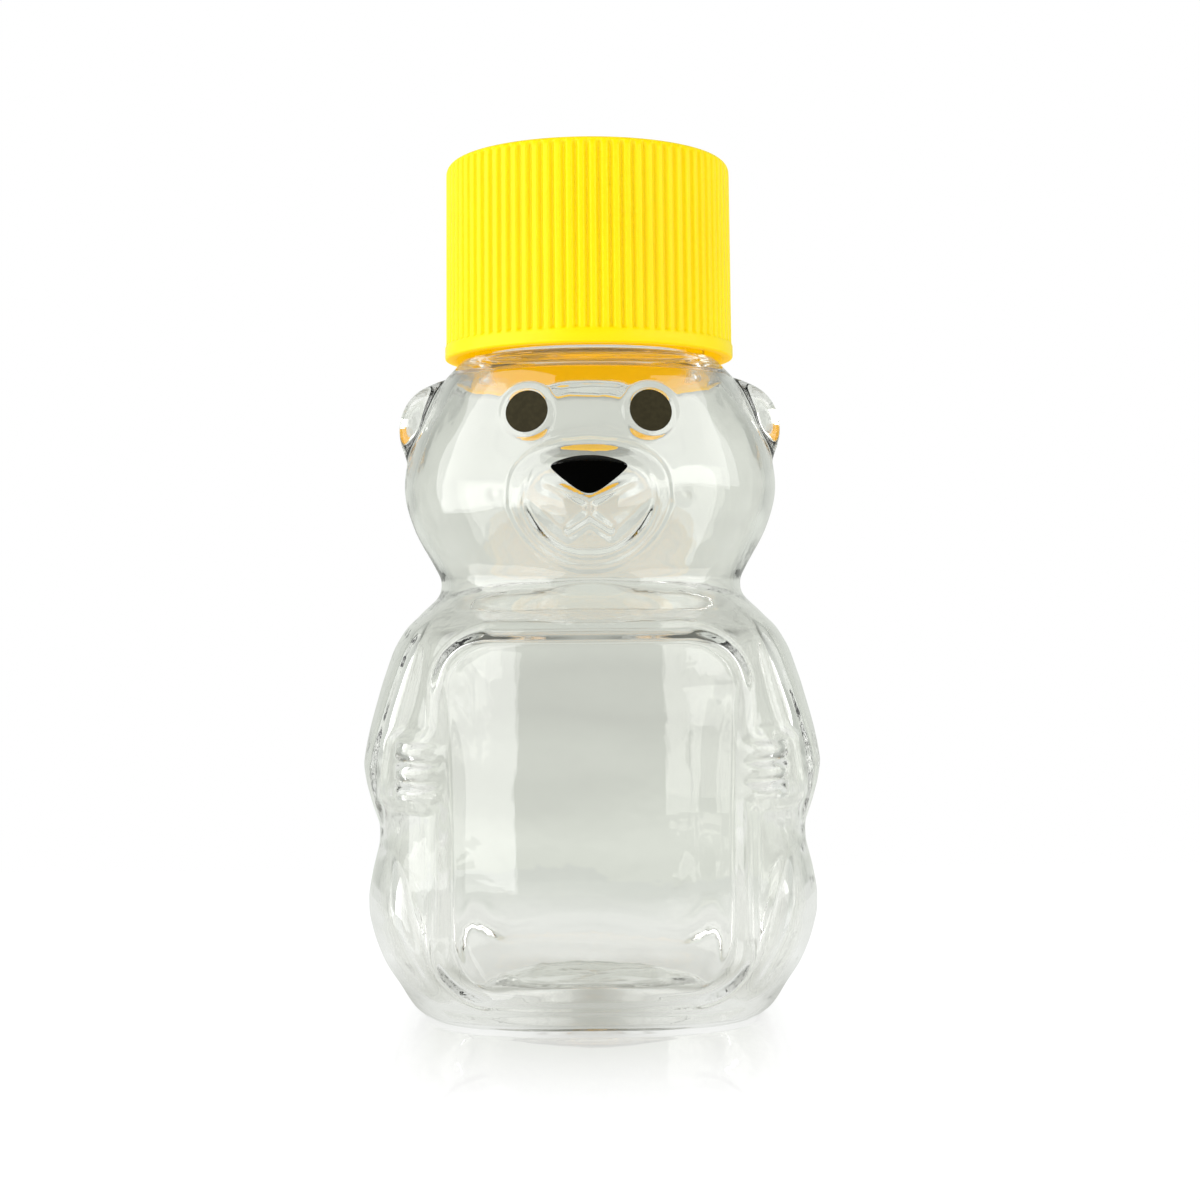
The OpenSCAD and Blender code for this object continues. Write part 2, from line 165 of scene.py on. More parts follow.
def segment_distance(x: np.ndarray, z: np.ndarray, start: Pair, end: Pair) -> np.ndarray:
    """Measure how far points of the face lie from a straight stroke between two points.

    Args:
        x: Places across the face, in millimetres.
        z: Heights, in millimetres.
        start: The stroke's first end.
        end: Its other end.

    Returns:
        Distances, in millimetres.
    """
    dx, dz = end[0] - start[0], end[1] - start[1]
    t = np.clip(((x - start[0]) * dx + (z - start[1]) * dz) / (dx * dx + dz * dz), 0.0, 1.0)
    return np.hypot(x - start[0] - t * dx, z - start[1] - t * dz)


def grid_mesh(name: str, rings: np.ndarray, close_start: bool, close_end: bool) -> bpy.types.Object:
    """Make a smooth mesh from closed rings of points.

    Args:
        name: The piece's name.
        rings: Points in millimetres, shaped rings by points by 3, each ring running the same way round.
        close_start: Whether the first ring is filled with a fan.
        close_end: Whether the last ring is filled with a fan.

    Returns:
        The object, linked to the scene, with its mesh in metres.
    """
    rows, cols, _ = rings.shape
    points = (rings.reshape(-1, 3) * MM).tolist()
    here = np.arange(rows * cols).reshape(rows, cols)
    after = np.roll(here, -1, axis=1)
    faces = np.stack([here[:-1], after[:-1], after[1:], here[1:]], axis=-1).reshape(-1, 4).tolist()
    for closed, ring, turn in ((close_start, 0, -1), (close_end, rows - 1, 1)):
        if closed:
            points.append((rings[ring].mean(axis=0) * MM).tolist())
            hub = len(points) - 1
            fan = np.stack([here[ring], after[ring]], axis=-1)[:, ::turn]
            faces += [[hub, int(a), int(b)] for a, b in fan]
    mesh = bpy.data.meshes.new(name)
    mesh.from_pydata(points, [], faces)
    mesh.validate()
    mesh.shade_smooth()
    piece = bpy.data.objects.new(name, mesh)
    bpy.context.scene.collection.objects.link(piece)
    return piece


def dress(piece: bpy.types.Object, finish: bpy.types.Material) -> None:
    """Give a piece one finish in place of what it has."""
    piece.data.materials.clear()
    piece.data.materials.append(finish)


class Skin:
    """A material in the making: its node tree, its shader, and places in the piece's own space."""

    def __init__(self, name: str, values: dict[str, object]) -> None:
        """Start the material.

        Args:
            name: The material's name.
            values: The shader's constant values, by input name.
        """
        self.material = bpy.data.materials.new(name)
        self.material.use_nodes = True
        self.tree = self.material.node_tree
        self.shader = self.tree.nodes["Principled BSDF"]
        for socket, value in values.items():
            self.shader.inputs[socket].default_value = value
        self.place = add_node(self.tree, "ShaderNodeTexCoord").outputs["Object"]

    def pattern(self, kind: str, size_mm: float, settings: dict[str, object] | None = None) -> bpy.types.Node:
        """Add a texture in the piece's own space.

        Args:
            kind: The texture node's type name.
            size_mm: The size of the pattern's features on the piece, in millimetres.
            settings: More of the texture's values.

        Returns:
            The texture node.
        """
        scale = {"Scale": 1.0 / (size_mm * MM)}
        return add_node(self.tree, kind, scale | (settings or {}), {"Vector": self.place})

    def feed(self, socket: str, output: bpy.types.NodeSocket) -> None:
        """Join a node's output to one of the shader's inputs."""
        self.tree.links.new(output, self.shader.inputs[socket])


@dataclass(frozen=True)
class MouldedPet:
    """Clear PET, injection stretch blown: a bright glass-like skin, all but colourless."""

    colour: str = "FDFDFB"
    ior: float = 1.57
    roughness: float = 0.015
    ripple: float = 0.06
    ripple_mm: float = 6.0
    relief_mm: float = 1.0
    orange_peel: float = 0.14
    orange_peel_mm: float = 1.3

    def material(self) -> bpy.types.Material:
        """Build the finish.

        Returns:
            A transmissive material whose slow ripple and fine orange peel bend what is seen through the
            wall, as blown walls do.
        """
        values = {
            "Base Color": linear(self.colour),
            "IOR": self.ior,
            "Roughness": self.roughness,
            "Transmission Weight": 1.0,
        }
        skin = Skin("moulded PET", values)
        ripple = skin.pattern(NOISE, self.ripple_mm, {"Detail": 1.0})
        peel = skin.pattern(NOISE, self.orange_peel_mm, {"Detail": 1.0})
        share = {"operation": "MULTIPLY_ADD", 1: self.orange_peel}
        height = add_node(skin.tree, MATH, share, {0: peel.outputs["Fac"], 2: ripple.outputs["Fac"]})
        relief = {"Strength": self.ripple, "Distance": self.relief_mm * MM}
        skin.feed("Normal", add_node(skin.tree, BUMP, relief, {"Height": height.outputs[0]}).outputs[0])
        return skin.material


@dataclass(frozen=True)
class MouldedPolypropylene:
    """Yellow polypropylene, injection moulded: a satin skin with a waxy glow where it is thin."""

    colour: str = "FFE806"
    deep_colour: str = "FFDA00"
    ior: float = 1.49
    shine: float = 0.24
    roughness: Pair = (0.32, 0.46)
    waxiness: float = 0.25
    light_path_mm: float = 1.2
    path_by_colour: Vec3 = (1.0, 0.75, 0.12)
    drift_mm: float = 9.0
    # The moulded grain is really about 0.05 mm, and is drawn as coarse as it needs to show
    grain_mm: float = 0.35
    grain: float = 0.12
    grain_depth_mm: float = 0.05

    def material(self) -> bpy.types.Material:
        """Build the finish.

        Returns:
            A satin material with a fine moulded grain and a slight drift of its yellow.
        """
        values = {
            "IOR": self.ior,
            "Specular IOR Level": self.shine,
            "Subsurface Weight": self.waxiness,
            "Subsurface Radius": self.path_by_colour,
            "Subsurface Scale": self.light_path_mm * MM,
        }
        skin = Skin("moulded polypropylene", values)
        drift = skin.pattern(NOISE, self.drift_mm, {"Detail": 2.0})
        grain = skin.pattern(NOISE, self.grain_mm, {"Detail": 3.0}).outputs["Fac"]
        ends = {"data_type": "RGBA", FIRST: linear(self.colour), SECOND: linear(self.deep_colour)}
        colour = add_node(skin.tree, MIX, ends, {0: drift.outputs["Fac"]})
        skin.feed("Base Color", colour.outputs[MIXED])
        spread = {"To Min": self.roughness[0], "To Max": self.roughness[1]}
        skin.feed("Roughness", add_node(skin.tree, MAP_RANGE, spread, {"Value": grain}).outputs[0])
        relief = {"Strength": self.grain, "Distance": self.grain_depth_mm * MM}
        skin.feed("Normal", add_node(skin.tree, BUMP, relief, {"Height": grain}).outputs[0])
        return skin.material


@dataclass(frozen=True)
class GlowPaintedPolypropylene:
    """The cap's inside: the same polypropylene, painted deeper orange for shade and glowing for light through
    its wall.
    """

    # Painted shade: a deeper orange than the outside's yellow
    colour: str = "FFC800"
    deep_colour: str = "FFB800"
    # Painted glow: an emission that stands in for the light through the wall, though the cap is no lamp
    glow_colour: str = "FFCC00"
    glow: float = 0.58
    roughness: float = 0.5
    shine: float = 0.1
    drift_mm: float = 5.0

    def material(self) -> bpy.types.Material:
        """Build the finish.

        Returns:
            A satin material in a deeper orange of painted shade, with a steady painted amber glow that gilds
            the clear neck and crown below it.
        """
        values = {
            "Roughness": self.roughness,
            "Specular IOR Level": self.shine,
            "Emission Color": linear(self.glow_colour),
            "Emission Strength": self.glow,
        }
        # The painted shade and painted glow of the cap's inside
        skin = Skin("moulded polypropylene, painted glow and shade", values)
        drift = skin.pattern(NOISE, self.drift_mm, {"Detail": 2.0})
        ends = {"data_type": "RGBA", FIRST: linear(self.colour), SECOND: linear(self.deep_colour)}
        colour = add_node(skin.tree, MIX, ends, {0: drift.outputs["Fac"]})
        skin.feed("Base Color", colour.outputs[MIXED])
        return skin.material


@dataclass(frozen=True)
class FoamedPolyethylene:
    """White polyethylene foam, sheet cut: a dull skin pitted with fine closed cells."""

    colour: str = "F1F0EA"
    # Painted shade: the cells' pits are coloured darker, where the relief sinks
    pit_shade_colour: str = "DEDDD4"
    roughness: float = 0.85
    # The cells are really about 0.2 mm, and are drawn as coarse as they need to show
    cell_mm: float = 0.5
    pit: float = 0.3
    pit_depth_mm: float = 0.1

    def material(self) -> bpy.types.Material:
        """Build the finish.

        Returns:
            A matte material with the pits of foam cells, darkened in them by painted shade.
        """
        skin = Skin("foamed polyethylene", {"Roughness": self.roughness})
        cells = skin.pattern("ShaderNodeTexVoronoi", self.cell_mm).outputs["Distance"]
        ends = {"data_type": "RGBA", FIRST: linear(self.pit_shade_colour), SECOND: linear(self.colour)}
        colour = add_node(skin.tree, MIX, ends, {0: cells})
        skin.feed("Base Color", colour.outputs[MIXED])
        relief = {"Strength": self.pit, "Distance": self.pit_depth_mm * MM}
        skin.feed("Normal", add_node(skin.tree, BUMP, relief, {"Height": cells}).outputs[0])
        return skin.material


@dataclass(frozen=True)
class PrintedEnamel:
    """Black enamel, pad printed: a thin film with a low sheen, thinner and browner where the pad lifted."""

    name: str
    colour: str
    thin_colour: str
    thin_share: float
    shine: float
    roughness: float = 0.35
    # The pad leaves specks of about 0.1 mm, which are drawn as coarse as they need to show
    speck_mm: float = 0.45
    speck_range: Pair = (0.35, 0.7)
    least_thin: float = 0.7
    grain: float = 0.15
    grain_depth_mm: float = 0.05

    def material(self) -> bpy.types.Material:
        """Build the finish.

        Returns:
            A dark material mottled by the film's uneven thickness.
        """
        skin = Skin(self.name, {"Roughness": self.roughness, "Specular IOR Level": self.shine})
        speck = skin.pattern(NOISE, self.speck_mm, {"Detail": 4.0}).outputs["Fac"]
        spread = {
            "From Min": self.speck_range[0],
            "From Max": self.speck_range[1],
            "To Min": self.thin_share * self.least_thin,
            "To Max": self.thin_share,
        }
        film = add_node(skin.tree, MAP_RANGE, spread, {"Value": speck})
        ends = {"data_type": "RGBA", FIRST: linear(self.colour), SECOND: linear(self.thin_colour)}
        colour = add_node(skin.tree, MIX, ends, {0: film.outputs["Result"]})
        skin.feed("Base Color", colour.outputs[MIXED])
        relief = {"Strength": self.grain, "Distance": self.grain_depth_mm * MM}
        skin.feed("Normal", add_node(skin.tree, BUMP, relief, {"Height": speck}).outputs[0])
        return skin.material


@dataclass(frozen=True)
class Swelling:
    """A rounded form such as a limb: an ellipsoid on the bear's left, mirrored to its right."""

    centre: Vec3
    half: Vec3
    tilt_x: float = 0.0
    tilt_z: float = 0.0

    def _in_axes(self, vector: list[np.ndarray]) -> np.ndarray:
        """Turn a vector into the form's own axes and measure it in half axes.

        Args:
            vector: Its parts along x, y and z.

        Returns:
            The parts along the form's own axes.
        """
        tx, tz = math.radians(self.tilt_x), math.radians(self.tilt_z)
        x = vector[0] * math.cos(tz) + vector[1] * math.sin(tz)
        y = vector[1] * math.cos(tz) - vector[0] * math.sin(tz)
        across = y * math.cos(tx) + vector[2] * math.sin(tx)
        up = vector[2] * math.cos(tx) - y * math.sin(tx)
        return np.array([x / self.half[0], across / self.half[1], up / self.half[2]])

    def reach(self, angle: np.ndarray, height: np.ndarray) -> np.ndarray:
        """Measure from the neck's axis to the form's far side.

        Args:
            angle: Angles about the neck's axis, in radians.
            height: Heights, in millimetres.

        Returns:
            Distances, falling away smoothly where the form is missed.
        """
        nil = np.zeros_like(angle)
        origin = self._in_axes([nil - self.centre[0], nil - self.centre[1], height - self.centre[2]])
        ray = self._in_axes([np.abs(np.cos(angle)), np.sin(angle), nil])
        k = (ray * ray).sum(axis=0)
        b = (origin * ray).sum(axis=0)
        disc = b * b - k * ((origin * origin).sum(axis=0) - 1.0)
        inside = (-b + np.sqrt(np.maximum(disc, 0.0))) / k
        outside = (-b - 2.0 * np.sqrt(np.maximum(-disc, 0.0))) / k
        return np.where(disc >= 0.0, inside, outside)


@dataclass(frozen=True)
class Proportions:
    """The two lengths that every form of the bear is a share of."""

    crown: float
    belly_half: float = 19.3

    def across(self, share: float) -> float:
        """Turn a width or depth in percent of the belly's half width to millimetres."""
        return share * self.belly_half / 100

    def up(self, share: float) -> float:
        """Turn a height in percent of the crown's to millimetres."""
        return share * self.crown / 100

    def sized(self, shares: Vec3) -> Vec3:
        """Turn a width, a depth and a height in shares to millimetres."""
        return (self.across(shares[0]), self.across(shares[1]), self.up(shares[2]))

    def swelling(self, centre: Vec3, half: Vec3, tilt_x: float = 0.0, tilt_z: float = 0.0) -> Swelling:
        """Make a rounded form from shares and two tilts."""
        return Swelling(self.sized(centre), self.sized(half), tilt_x, tilt_z)


@dataclass
class Trunk:
    """The bear's body and head without limbs, as sections up the neck's axis.

    A section is its height in percent of the crown's, its half width and its front and back half
    depth in percent of the belly's half width, and the exponent that makes it square.
    """

    proportions: Proportions
    neck_radius: float
    crown_step: float = 0.48
    rows: tuple[tuple[float, float, float, float, float], ...] = (
        (-1, 80.3, 61.1, 61.1, 3.0),
        (1, 83.4, 69.4, 69.4, 3.0),
        (4, 88.8, 83.9, 83.9, 2.9),
        (9, 96.6, 91.2, 91.2, 2.8),
        (18, 99.5, 93.3, 93.3, 2.7),
        (27, 100, 93.3, 93.3, 2.7),
        (40, 98.4, 93.3, 93.3, 2.7),
        (51, 91.7, 92.7, 92.7, 2.7),
        (58.5, 85.8, 91.2, 91.2, 2.6),
        (61.2, 79.8, 82.9, 82.9, 2.4),
        (63.7, 72.3, 70.5, 70.5, 2.2),
        (66, 71.0, 64.8, 64.8, 2.1),
        (68, 73.6, 67.4, 68.4, 2.0),
        (74, 83.4, 74.1, 76.7, 2.0),
        (80, 88.1, 77.7, 81.3, 2.0),
        (86, 85.5, 77.2, 80.8, 2.0),
        (92, 77.2, 72.0, 74.6, 2.0),
        (96.5, 70.5, 67.9, 68.9, 2.0),
    )

    def table(self) -> np.ndarray:
        """List the sections, with two at the crown that follow the neck.

        Returns:
            One row a section.
        """
        top = []
        for height, step in ((99, self.crown_step + 1.1), (101, self.crown_step)):
            share = (self.neck_radius + step) / self.proportions.belly_half * 100
            top.append((height, share, share, share, 2.0))
        return np.array(self.rows + tuple(top))

    def section(self, height: np.ndarray, column: int) -> np.ndarray:
        """Read one value of the sections at given heights, along a smooth curve through them.

        Args:
            height: Heights, in millimetres.
            column: Which value of a section is read.

        Returns:
            The values, one for each height.
        """
        table = self.table()
        at, value = table[:, 0], table[:, column]
        slope = np.gradient(value, at, edge_order=1)
        slope[1:-1] = (value[2:] - value[:-2]) / (at[2:] - at[:-2])
        share = height / self.proportions.crown * 100
        j = np.clip(np.searchsorted(at, share, side="right") - 1, 0, len(at) - 2)
        width = at[j + 1] - at[j]
        t = np.clip((share - at[j]) / width, 0.0, 1.0)
        low = value[j] * (1 + 2 * t) * (1 - t) ** 2 + slope[j] * width * t * (1 - t) ** 2
        high = value[j + 1] * t * t * (3 - 2 * t) + slope[j + 1] * width * t * t * (t - 1)
        return low + high

    def reach(self, angle: np.ndarray, height: np.ndarray) -> np.ndarray:
        """Measure from the neck's axis to the trunk's skin.

        Args:
            angle: Angles about the neck's axis, in radians.
            height: Heights, in millimetres.

        Returns:
            Distances, in millimetres.
        """
        power = self.section(height, 4)
        half = self.proportions.across(self.section(height, 1))
        side = np.where(np.sin(angle) < 0, self.section(height, 2), self.section(height, 3))
        depth = self.proportions.across(side)
        across = (np.abs(np.cos(angle)) / half) ** power
        along = (np.abs(np.sin(angle)) / depth) ** power
        return (across + along) ** (-1.0 / power)


@dataclass(frozen=True)
class Pad:
    """A limb as the mould cuts it: a raised pad on the bear's side with a creased outline.

    The profile gives how far the pad stands out at each height; front and back give the angles from the
    bear's side, in degrees, at which the pad ends, at its lower and its upper end.
    """

    profile: tuple[Pair, ...]
    front: Pair
    back: Pair
    edge: float = 5.0
    crease: float = 0.35

    def height(self, angle: np.ndarray, z: np.ndarray) -> np.ndarray:
        """Give how far the pad stands out at angles and heights.

        Args:
            angle: Angles about the neck's axis, in radians.
            z: Heights, in millimetres.

        Returns:
            Heights over the bare trunk, in millimetres.
        """
        levels, outs = zip(*self.profile)
        taps = np.linspace(-self.crease, self.crease, 5)
        out = sum(np.interp(z + tap, levels, outs) for tap in taps) / len(taps)
        side = np.degrees(np.arctan2(np.sin(angle), np.abs(np.cos(angle))))
        ends = (levels[0], levels[-1])
        front = np.interp(z, ends, self.front)
        back = np.interp(z, ends, self.back)
        window = smoothstep(side - front, 0.0, self.edge) * (1.0 - smoothstep(side - back, -self.edge, 0.0))
        return out * window


@dataclass
class LabelPanel:
    """The sunk, gently curved panel on the belly and the back, with a bead that is higher at its corners."""

    half: float = 13.1
    low: float = 3.5
    high: float = 34.3
    corner: float = 5.0
    curve: float = 30.0
    face: float = 17.4
    step: float = 0.5
    bead: float = 0.14
    corner_bead: float = 0.5
    corner_blend: float = 2.0
    bead_half: float = 0.5

    def past_corners(self, x: np.ndarray, z: np.ndarray) -> tuple[np.ndarray, np.ndarray]:
        """Measure how far points lie past the centres of the panel's corners, across and up.

        Args:
            x: Places across the panel, in millimetres.
            z: Heights, in millimetres.

        Returns:
            The distances across and up; inside is negative.
        """
        middle = (self.low + self.high) / 2
        over_x = np.abs(x) - (self.half - self.corner)
        over_z = np.abs(z - middle) - ((self.high - self.low) / 2 - self.corner)
        return over_x, over_z

    def sink(self, angle: np.ndarray, height: np.ndarray, radius: np.ndarray) -> np.ndarray:
        """Sink the skin to the panel's face inside its outline.

        Args:
            angle: Angles about the neck's axis, in radians.
            height: Heights, in millimetres.
            radius: The skin's distance from the axis there.

        Returns:
            The distance with the panel and the soft bead round it.
        """
        centre = self.curve - self.face
        face = np.sqrt(self.curve**2 - (centre * np.cos(angle)) ** 2) - centre * np.abs(np.sin(angle))
        over_x, over_z = self.past_corners(radius * np.cos(angle), height)
        outer = np.hypot(np.maximum(over_x, 0.0), np.maximum(over_z, 0.0))
        gap = outer + np.minimum(np.maximum(over_x, over_z), 0.0) - self.corner
        share = 1.0 - smoothstep(gap, -self.step, 0.0)
        at_corner = smoothstep(np.minimum(over_x, over_z), 0.0, self.corner_blend)
        bead = (self.bead + self.corner_bead * at_corner) * bell(gap - self.bead_half, self.bead_half)
        return radius - share * np.maximum(radius - face, 0.0) + bead


@dataclass
class Face:
    """The muzzle, the mouth, the chin and the bosses under the eyes.

    The face takes a span of heights and starts a way in front of the neck's axis. A form's edge is the range
    over which it fades in, and a gain is how much stronger it grows over a range of heights.
    """

    centre_z: float = 45.4
    half_width: float = 6.45
    half_height: float = 5.0
    front: float = 17.3
    root: float = 11.0
    taper: float = 0.045
    lean: float = 0.1
    fullness: float = 0.42
    power_low: float = 2.2
    power_high: float = 3.2
    crease: float = 0.25
    behind: float = 6.0
    span: Pair = (36.0, 58.0)
    ring_height: float = 0.5
    ring_least: float = 0.6
    ring_gains: tuple[tuple[float, Pair], ...] = ((0.4, (41.0, 45.0)), (0.5, (46.0, 49.0)))
    ring_middle: float = 0.24
    ring_half: float = 0.14
    collar_out: float = 0.75
    collar_height: float = 0.5
    collar_gain: tuple[float, Pair] = (0.6, (47.0, 50.0))
    collar_edge: Pair = (0.0, 0.09)
    bridge_half: float = 3.3
    bridge_span: Pair = (50.4, 55.6)
    bridge_height: float = 0.07
    bridge_arch: float = 0.25
    bridge_side: float = 0.6
    bridge_low_edge: float = 1.0
    bridge_top_edge: float = 0.3
    eye: Pair = (5.3, 53.5)
    boss_radius: float = 2.29
    boss_height: float = 0.3
    boss_edge: Pair = (-0.1, 0.3)
    carved: Pair = (0.16, 0.5)
    fold_top: Pair = (0.0, 45.6)
    fold_low: Pair = (0.0, 44.4)
    flew_top: Pair = (3.6, 47.35)
    flew_low: Pair = (1.85, 43.2)
    lip_middle: Pair = (0.0, 43.75)
    lip_low: Pair = (1.95, 42.6)
    lip_corner: Pair = (5.3, 45.65)
    groove: float = 0.62
    groove_half: float = 0.52
    fold_width: float = 1.15
    flew_fade: float = 0.6
    flew_fade_from: float = 1.0
    chin_fall: float = 0.8
    chin_edge: Pair = (-0.35, 0.65)
    chin_return: Pair = (1.4, 4.5)
    dimple: float = 0.35
    dimple_half: float = 0.6
    dimple_rise: float = 0.1
    dimple_squash: float = 0.8

    def muzzle(self, x: np.ndarray, z: np.ndarray) -> np.ndarray:
        """Give how far forward the muzzle stands at points of the face, and 0 off it.

        Args:
            x: Places across the face, in millimetres.
            z: Heights, in millimetres.

        Returns:
            Distances in front of the neck's axis, in millimetres.
        """
        share = self.muzzle_share(x, z)
        tip = self.front - self.lean * np.maximum(z - self.centre_z, 0.0)
        out = self.root + (tip - self.root) * np.maximum(share, 0.0) ** self.fullness
        strength = np.full_like(share, self.ring_least)
        for gain, levels in self.ring_gains:
            strength += gain * smoothstep(z, *levels)
        ring = self.ring_height * strength * bell(share - self.ring_middle, self.ring_half)
        return np.where(share > 0, out + ring, 0.0)

    def muzzle_share(self, x: np.ndarray, z: np.ndarray, grow: float = 0.0) -> np.ndarray:
        """Give 0 on the muzzle's egg-shaped outline and 1 at its middle, for an outline grown by a step.

        Args:
            x: Places across the face, in millimetres.
            z: Heights, in millimetres.
            grow: How far the outline is grown, in millimetres.

        Returns:
            The shares, which are negative off the muzzle.
        """
        rise = z - self.centre_z
        half = (self.half_width + grow) * (1.0 + self.taper * np.minimum(rise, 0.0))
        power = np.where(rise > 0, self.power_high, self.power_low)
        across = (np.abs(x) / half) ** self.power_low
        return 1.0 - across - (np.abs(rise) / (self.half_height + grow)) ** power

    def relief(self, x: np.ndarray, z: np.ndarray) -> np.ndarray:
        """Give the low steps of the face: the collar round the muzzle, the eyes' bosses and their bridge.

        Args:
            x: Places across the face, in millimetres.
            z: Heights, in millimetres.

        Returns:
            Heights over the head, in millimetres.
        """
        gain, levels = self.collar_gain
        high_up = 1.0 + gain * smoothstep(z, *levels)
        grown = self.muzzle_share(x, z, self.collar_out)
        collar = self.collar_height * high_up * smoothstep(grown, *self.collar_edge)
        near = np.hypot(np.abs(x) - self.eye[0], z - self.eye[1])
        inner, outer = (self.boss_radius + edge for edge in self.boss_edge)
        boss = self.boss_height * (1.0 - smoothstep(near, inner, outer))
        low, high = self.bridge_span
        arch = high + self.bridge_arch * (1.0 - (x / self.bridge_half) ** 2)
        side = 1.0 - smoothstep(np.abs(x), self.bridge_half, self.bridge_half + self.bridge_side)
        span = side * smoothstep(z, low, low + self.bridge_low_edge)
        under = 1.0 - smoothstep(z, arch - self.bridge_top_edge, arch + self.bridge_top_edge)
        bridge = self.bridge_height * span * under
        return np.maximum(np.maximum(collar, boss), bridge)

    def mouth(self, x: np.ndarray, z: np.ndarray) -> np.ndarray:
        """Give the depth of the grooves below the nose, which cross like the letter X.

        Args:
            x: Places across the face, in millimetres.
            z: Heights, in millimetres.

        Returns:
            Depths, in millimetres.
        """
        side = np.abs(x)
        fold_half = self.groove_half * self.fold_width
        fold = bell(segment_distance(side, z, self.fold_top, self.fold_low), fold_half)
        upper = bell(segment_distance(side, z, self.fold_top, self.flew_top), self.groove_half)
        lower = bell(segment_distance(side, z, self.fold_low, self.flew_low), self.groove_half)
        fading = 1.0 - self.flew_fade * smoothstep(side, self.flew_fade_from, self.flew_top[0])
        return self.groove * np.maximum(np.maximum(fold, upper * fading), lower)

    def chin(self, x: np.ndarray, z: np.ndarray) -> np.ndarray:
        """Give how far the chin falls back below the lips' line, round the lip's own low middle.

        Args:
            x: Places across the face, in millimetres.
            z: Heights, in millimetres.

        Returns:
            Depths, in millimetres.
        """
        side = np.abs(x)
        rise = (self.lip_corner[1] - self.lip_low[1]) / (self.lip_corner[0] - self.lip_low[0])
        outer = self.lip_low[1] + rise * (side - self.lip_low[0])
        drop = (self.lip_low[1] - self.lip_middle[1]) / self.lip_low[0]
        inner = self.lip_middle[1] + drop * side
        below = np.where(side > self.lip_low[0], outer, inner) - z
        fall = smoothstep(below, *self.chin_edge) * (1.0 - smoothstep(below, *self.chin_return))
        up = (z - self.lip_low[1] - self.dimple_rise) * self.dimple_squash
        return self.chin_fall * (fall - self.dimple * bell(np.hypot(side, up), self.dimple_half))

    def shape(self, rings: np.ndarray) -> np.ndarray:
        """Push the front of the head out into the face.

        Args:
            rings: The skin's points, in millimetres.

        Returns:
            The points with the face in them.
        """
        x, y, z = rings[..., 0], rings[..., 1], rings[..., 2]
        front = (y < -self.behind) & (z > self.span[0]) & (z < self.span[1])
        raised = blend(-y + self.relief(x, z), self.muzzle(x, z), self.crease)
        on_muzzle = smoothstep(self.muzzle_share(x, z), *self.carved)
        carved = raised - on_muzzle * (self.mouth(x, z) + self.chin(x, z))
        shaped = rings.copy()
        shaped[..., 1] = np.where(front, -carved, y)
        return shaped


@dataclass
class Thread:
    """The helical ridge on the neck or in the cap."""

    top: float
    turns: float
    height: float
    pitch: float = 3.175
    start: float = math.radians(25.0)
    root_half: float = 0.92
    crest_half: float = 0.4
    fade: float = 0.17

    def relief(self, angle: np.ndarray, height: np.ndarray) -> np.ndarray:
        """Give how far the ridge stands out at angles and heights.

        Args:
            angle: Angles about the neck's axis, in radians.
            height: Heights, in millimetres.

        Returns:
            Heights over the bare wall, in millimetres.
        """
        phase = np.mod((self.start - angle) / (2 * math.pi), 1.0)
        relief = np.zeros_like(height)
        for turn in range(math.ceil(self.turns) + 1):
            run = phase + turn
            share = np.clip(np.minimum(run, self.turns - run) / self.fade, 0.0, 1.0)
            off = np.abs(height - (self.top - self.pitch * run))
            flank = 1.0 - smoothstep(off, self.crest_half, self.root_half)
            relief = np.maximum(relief, self.height * share * flank)
        return relief


@dataclass(frozen=True)
class Underside:
    """The standing face: a heel that rolls up at its edge, round a push-up with one plain ring."""

    foot: float = 0.35
    heel: float = 0.55
    roll: float = 0.32
    roll_from: float = 0.965
    push_up: float = 2.0
    push_up_radius: float = 10.25
    slope: Pair = (-1.6, 0.6)
    ring: float = 0.18
    ring_inset: float = 3.2
    ring_half: float = 0.5

    @staticmethod
    def shares() -> np.ndarray:
        """Place the rings as shares of the foot's radius, closer towards the heel."""
        return np.concatenate([np.linspace(0.02, 0.5, 16), np.linspace(0.515, 1.0, 44)])

    def height(self, radius: np.ndarray, share: float) -> np.ndarray:
        """Give how high one ring of the underside lies.

        Args:
            radius: The ring's distances from the neck's axis.
            share: The ring's share of the foot's radius.

        Returns:
            The heights of the ring's points.
        """
        inner, outer = (self.push_up_radius + edge for edge in self.slope)
        rise = 1.0 - smoothstep(radius, inner, outer)
        ring = self.ring * bell(radius - (self.push_up_radius - self.ring_inset), self.ring_half)
        roll = self.roll * smoothstep(np.full_like(radius, share), self.roll_from, 1.0) ** 2
        return self.push_up * rise - ring * rise + roll


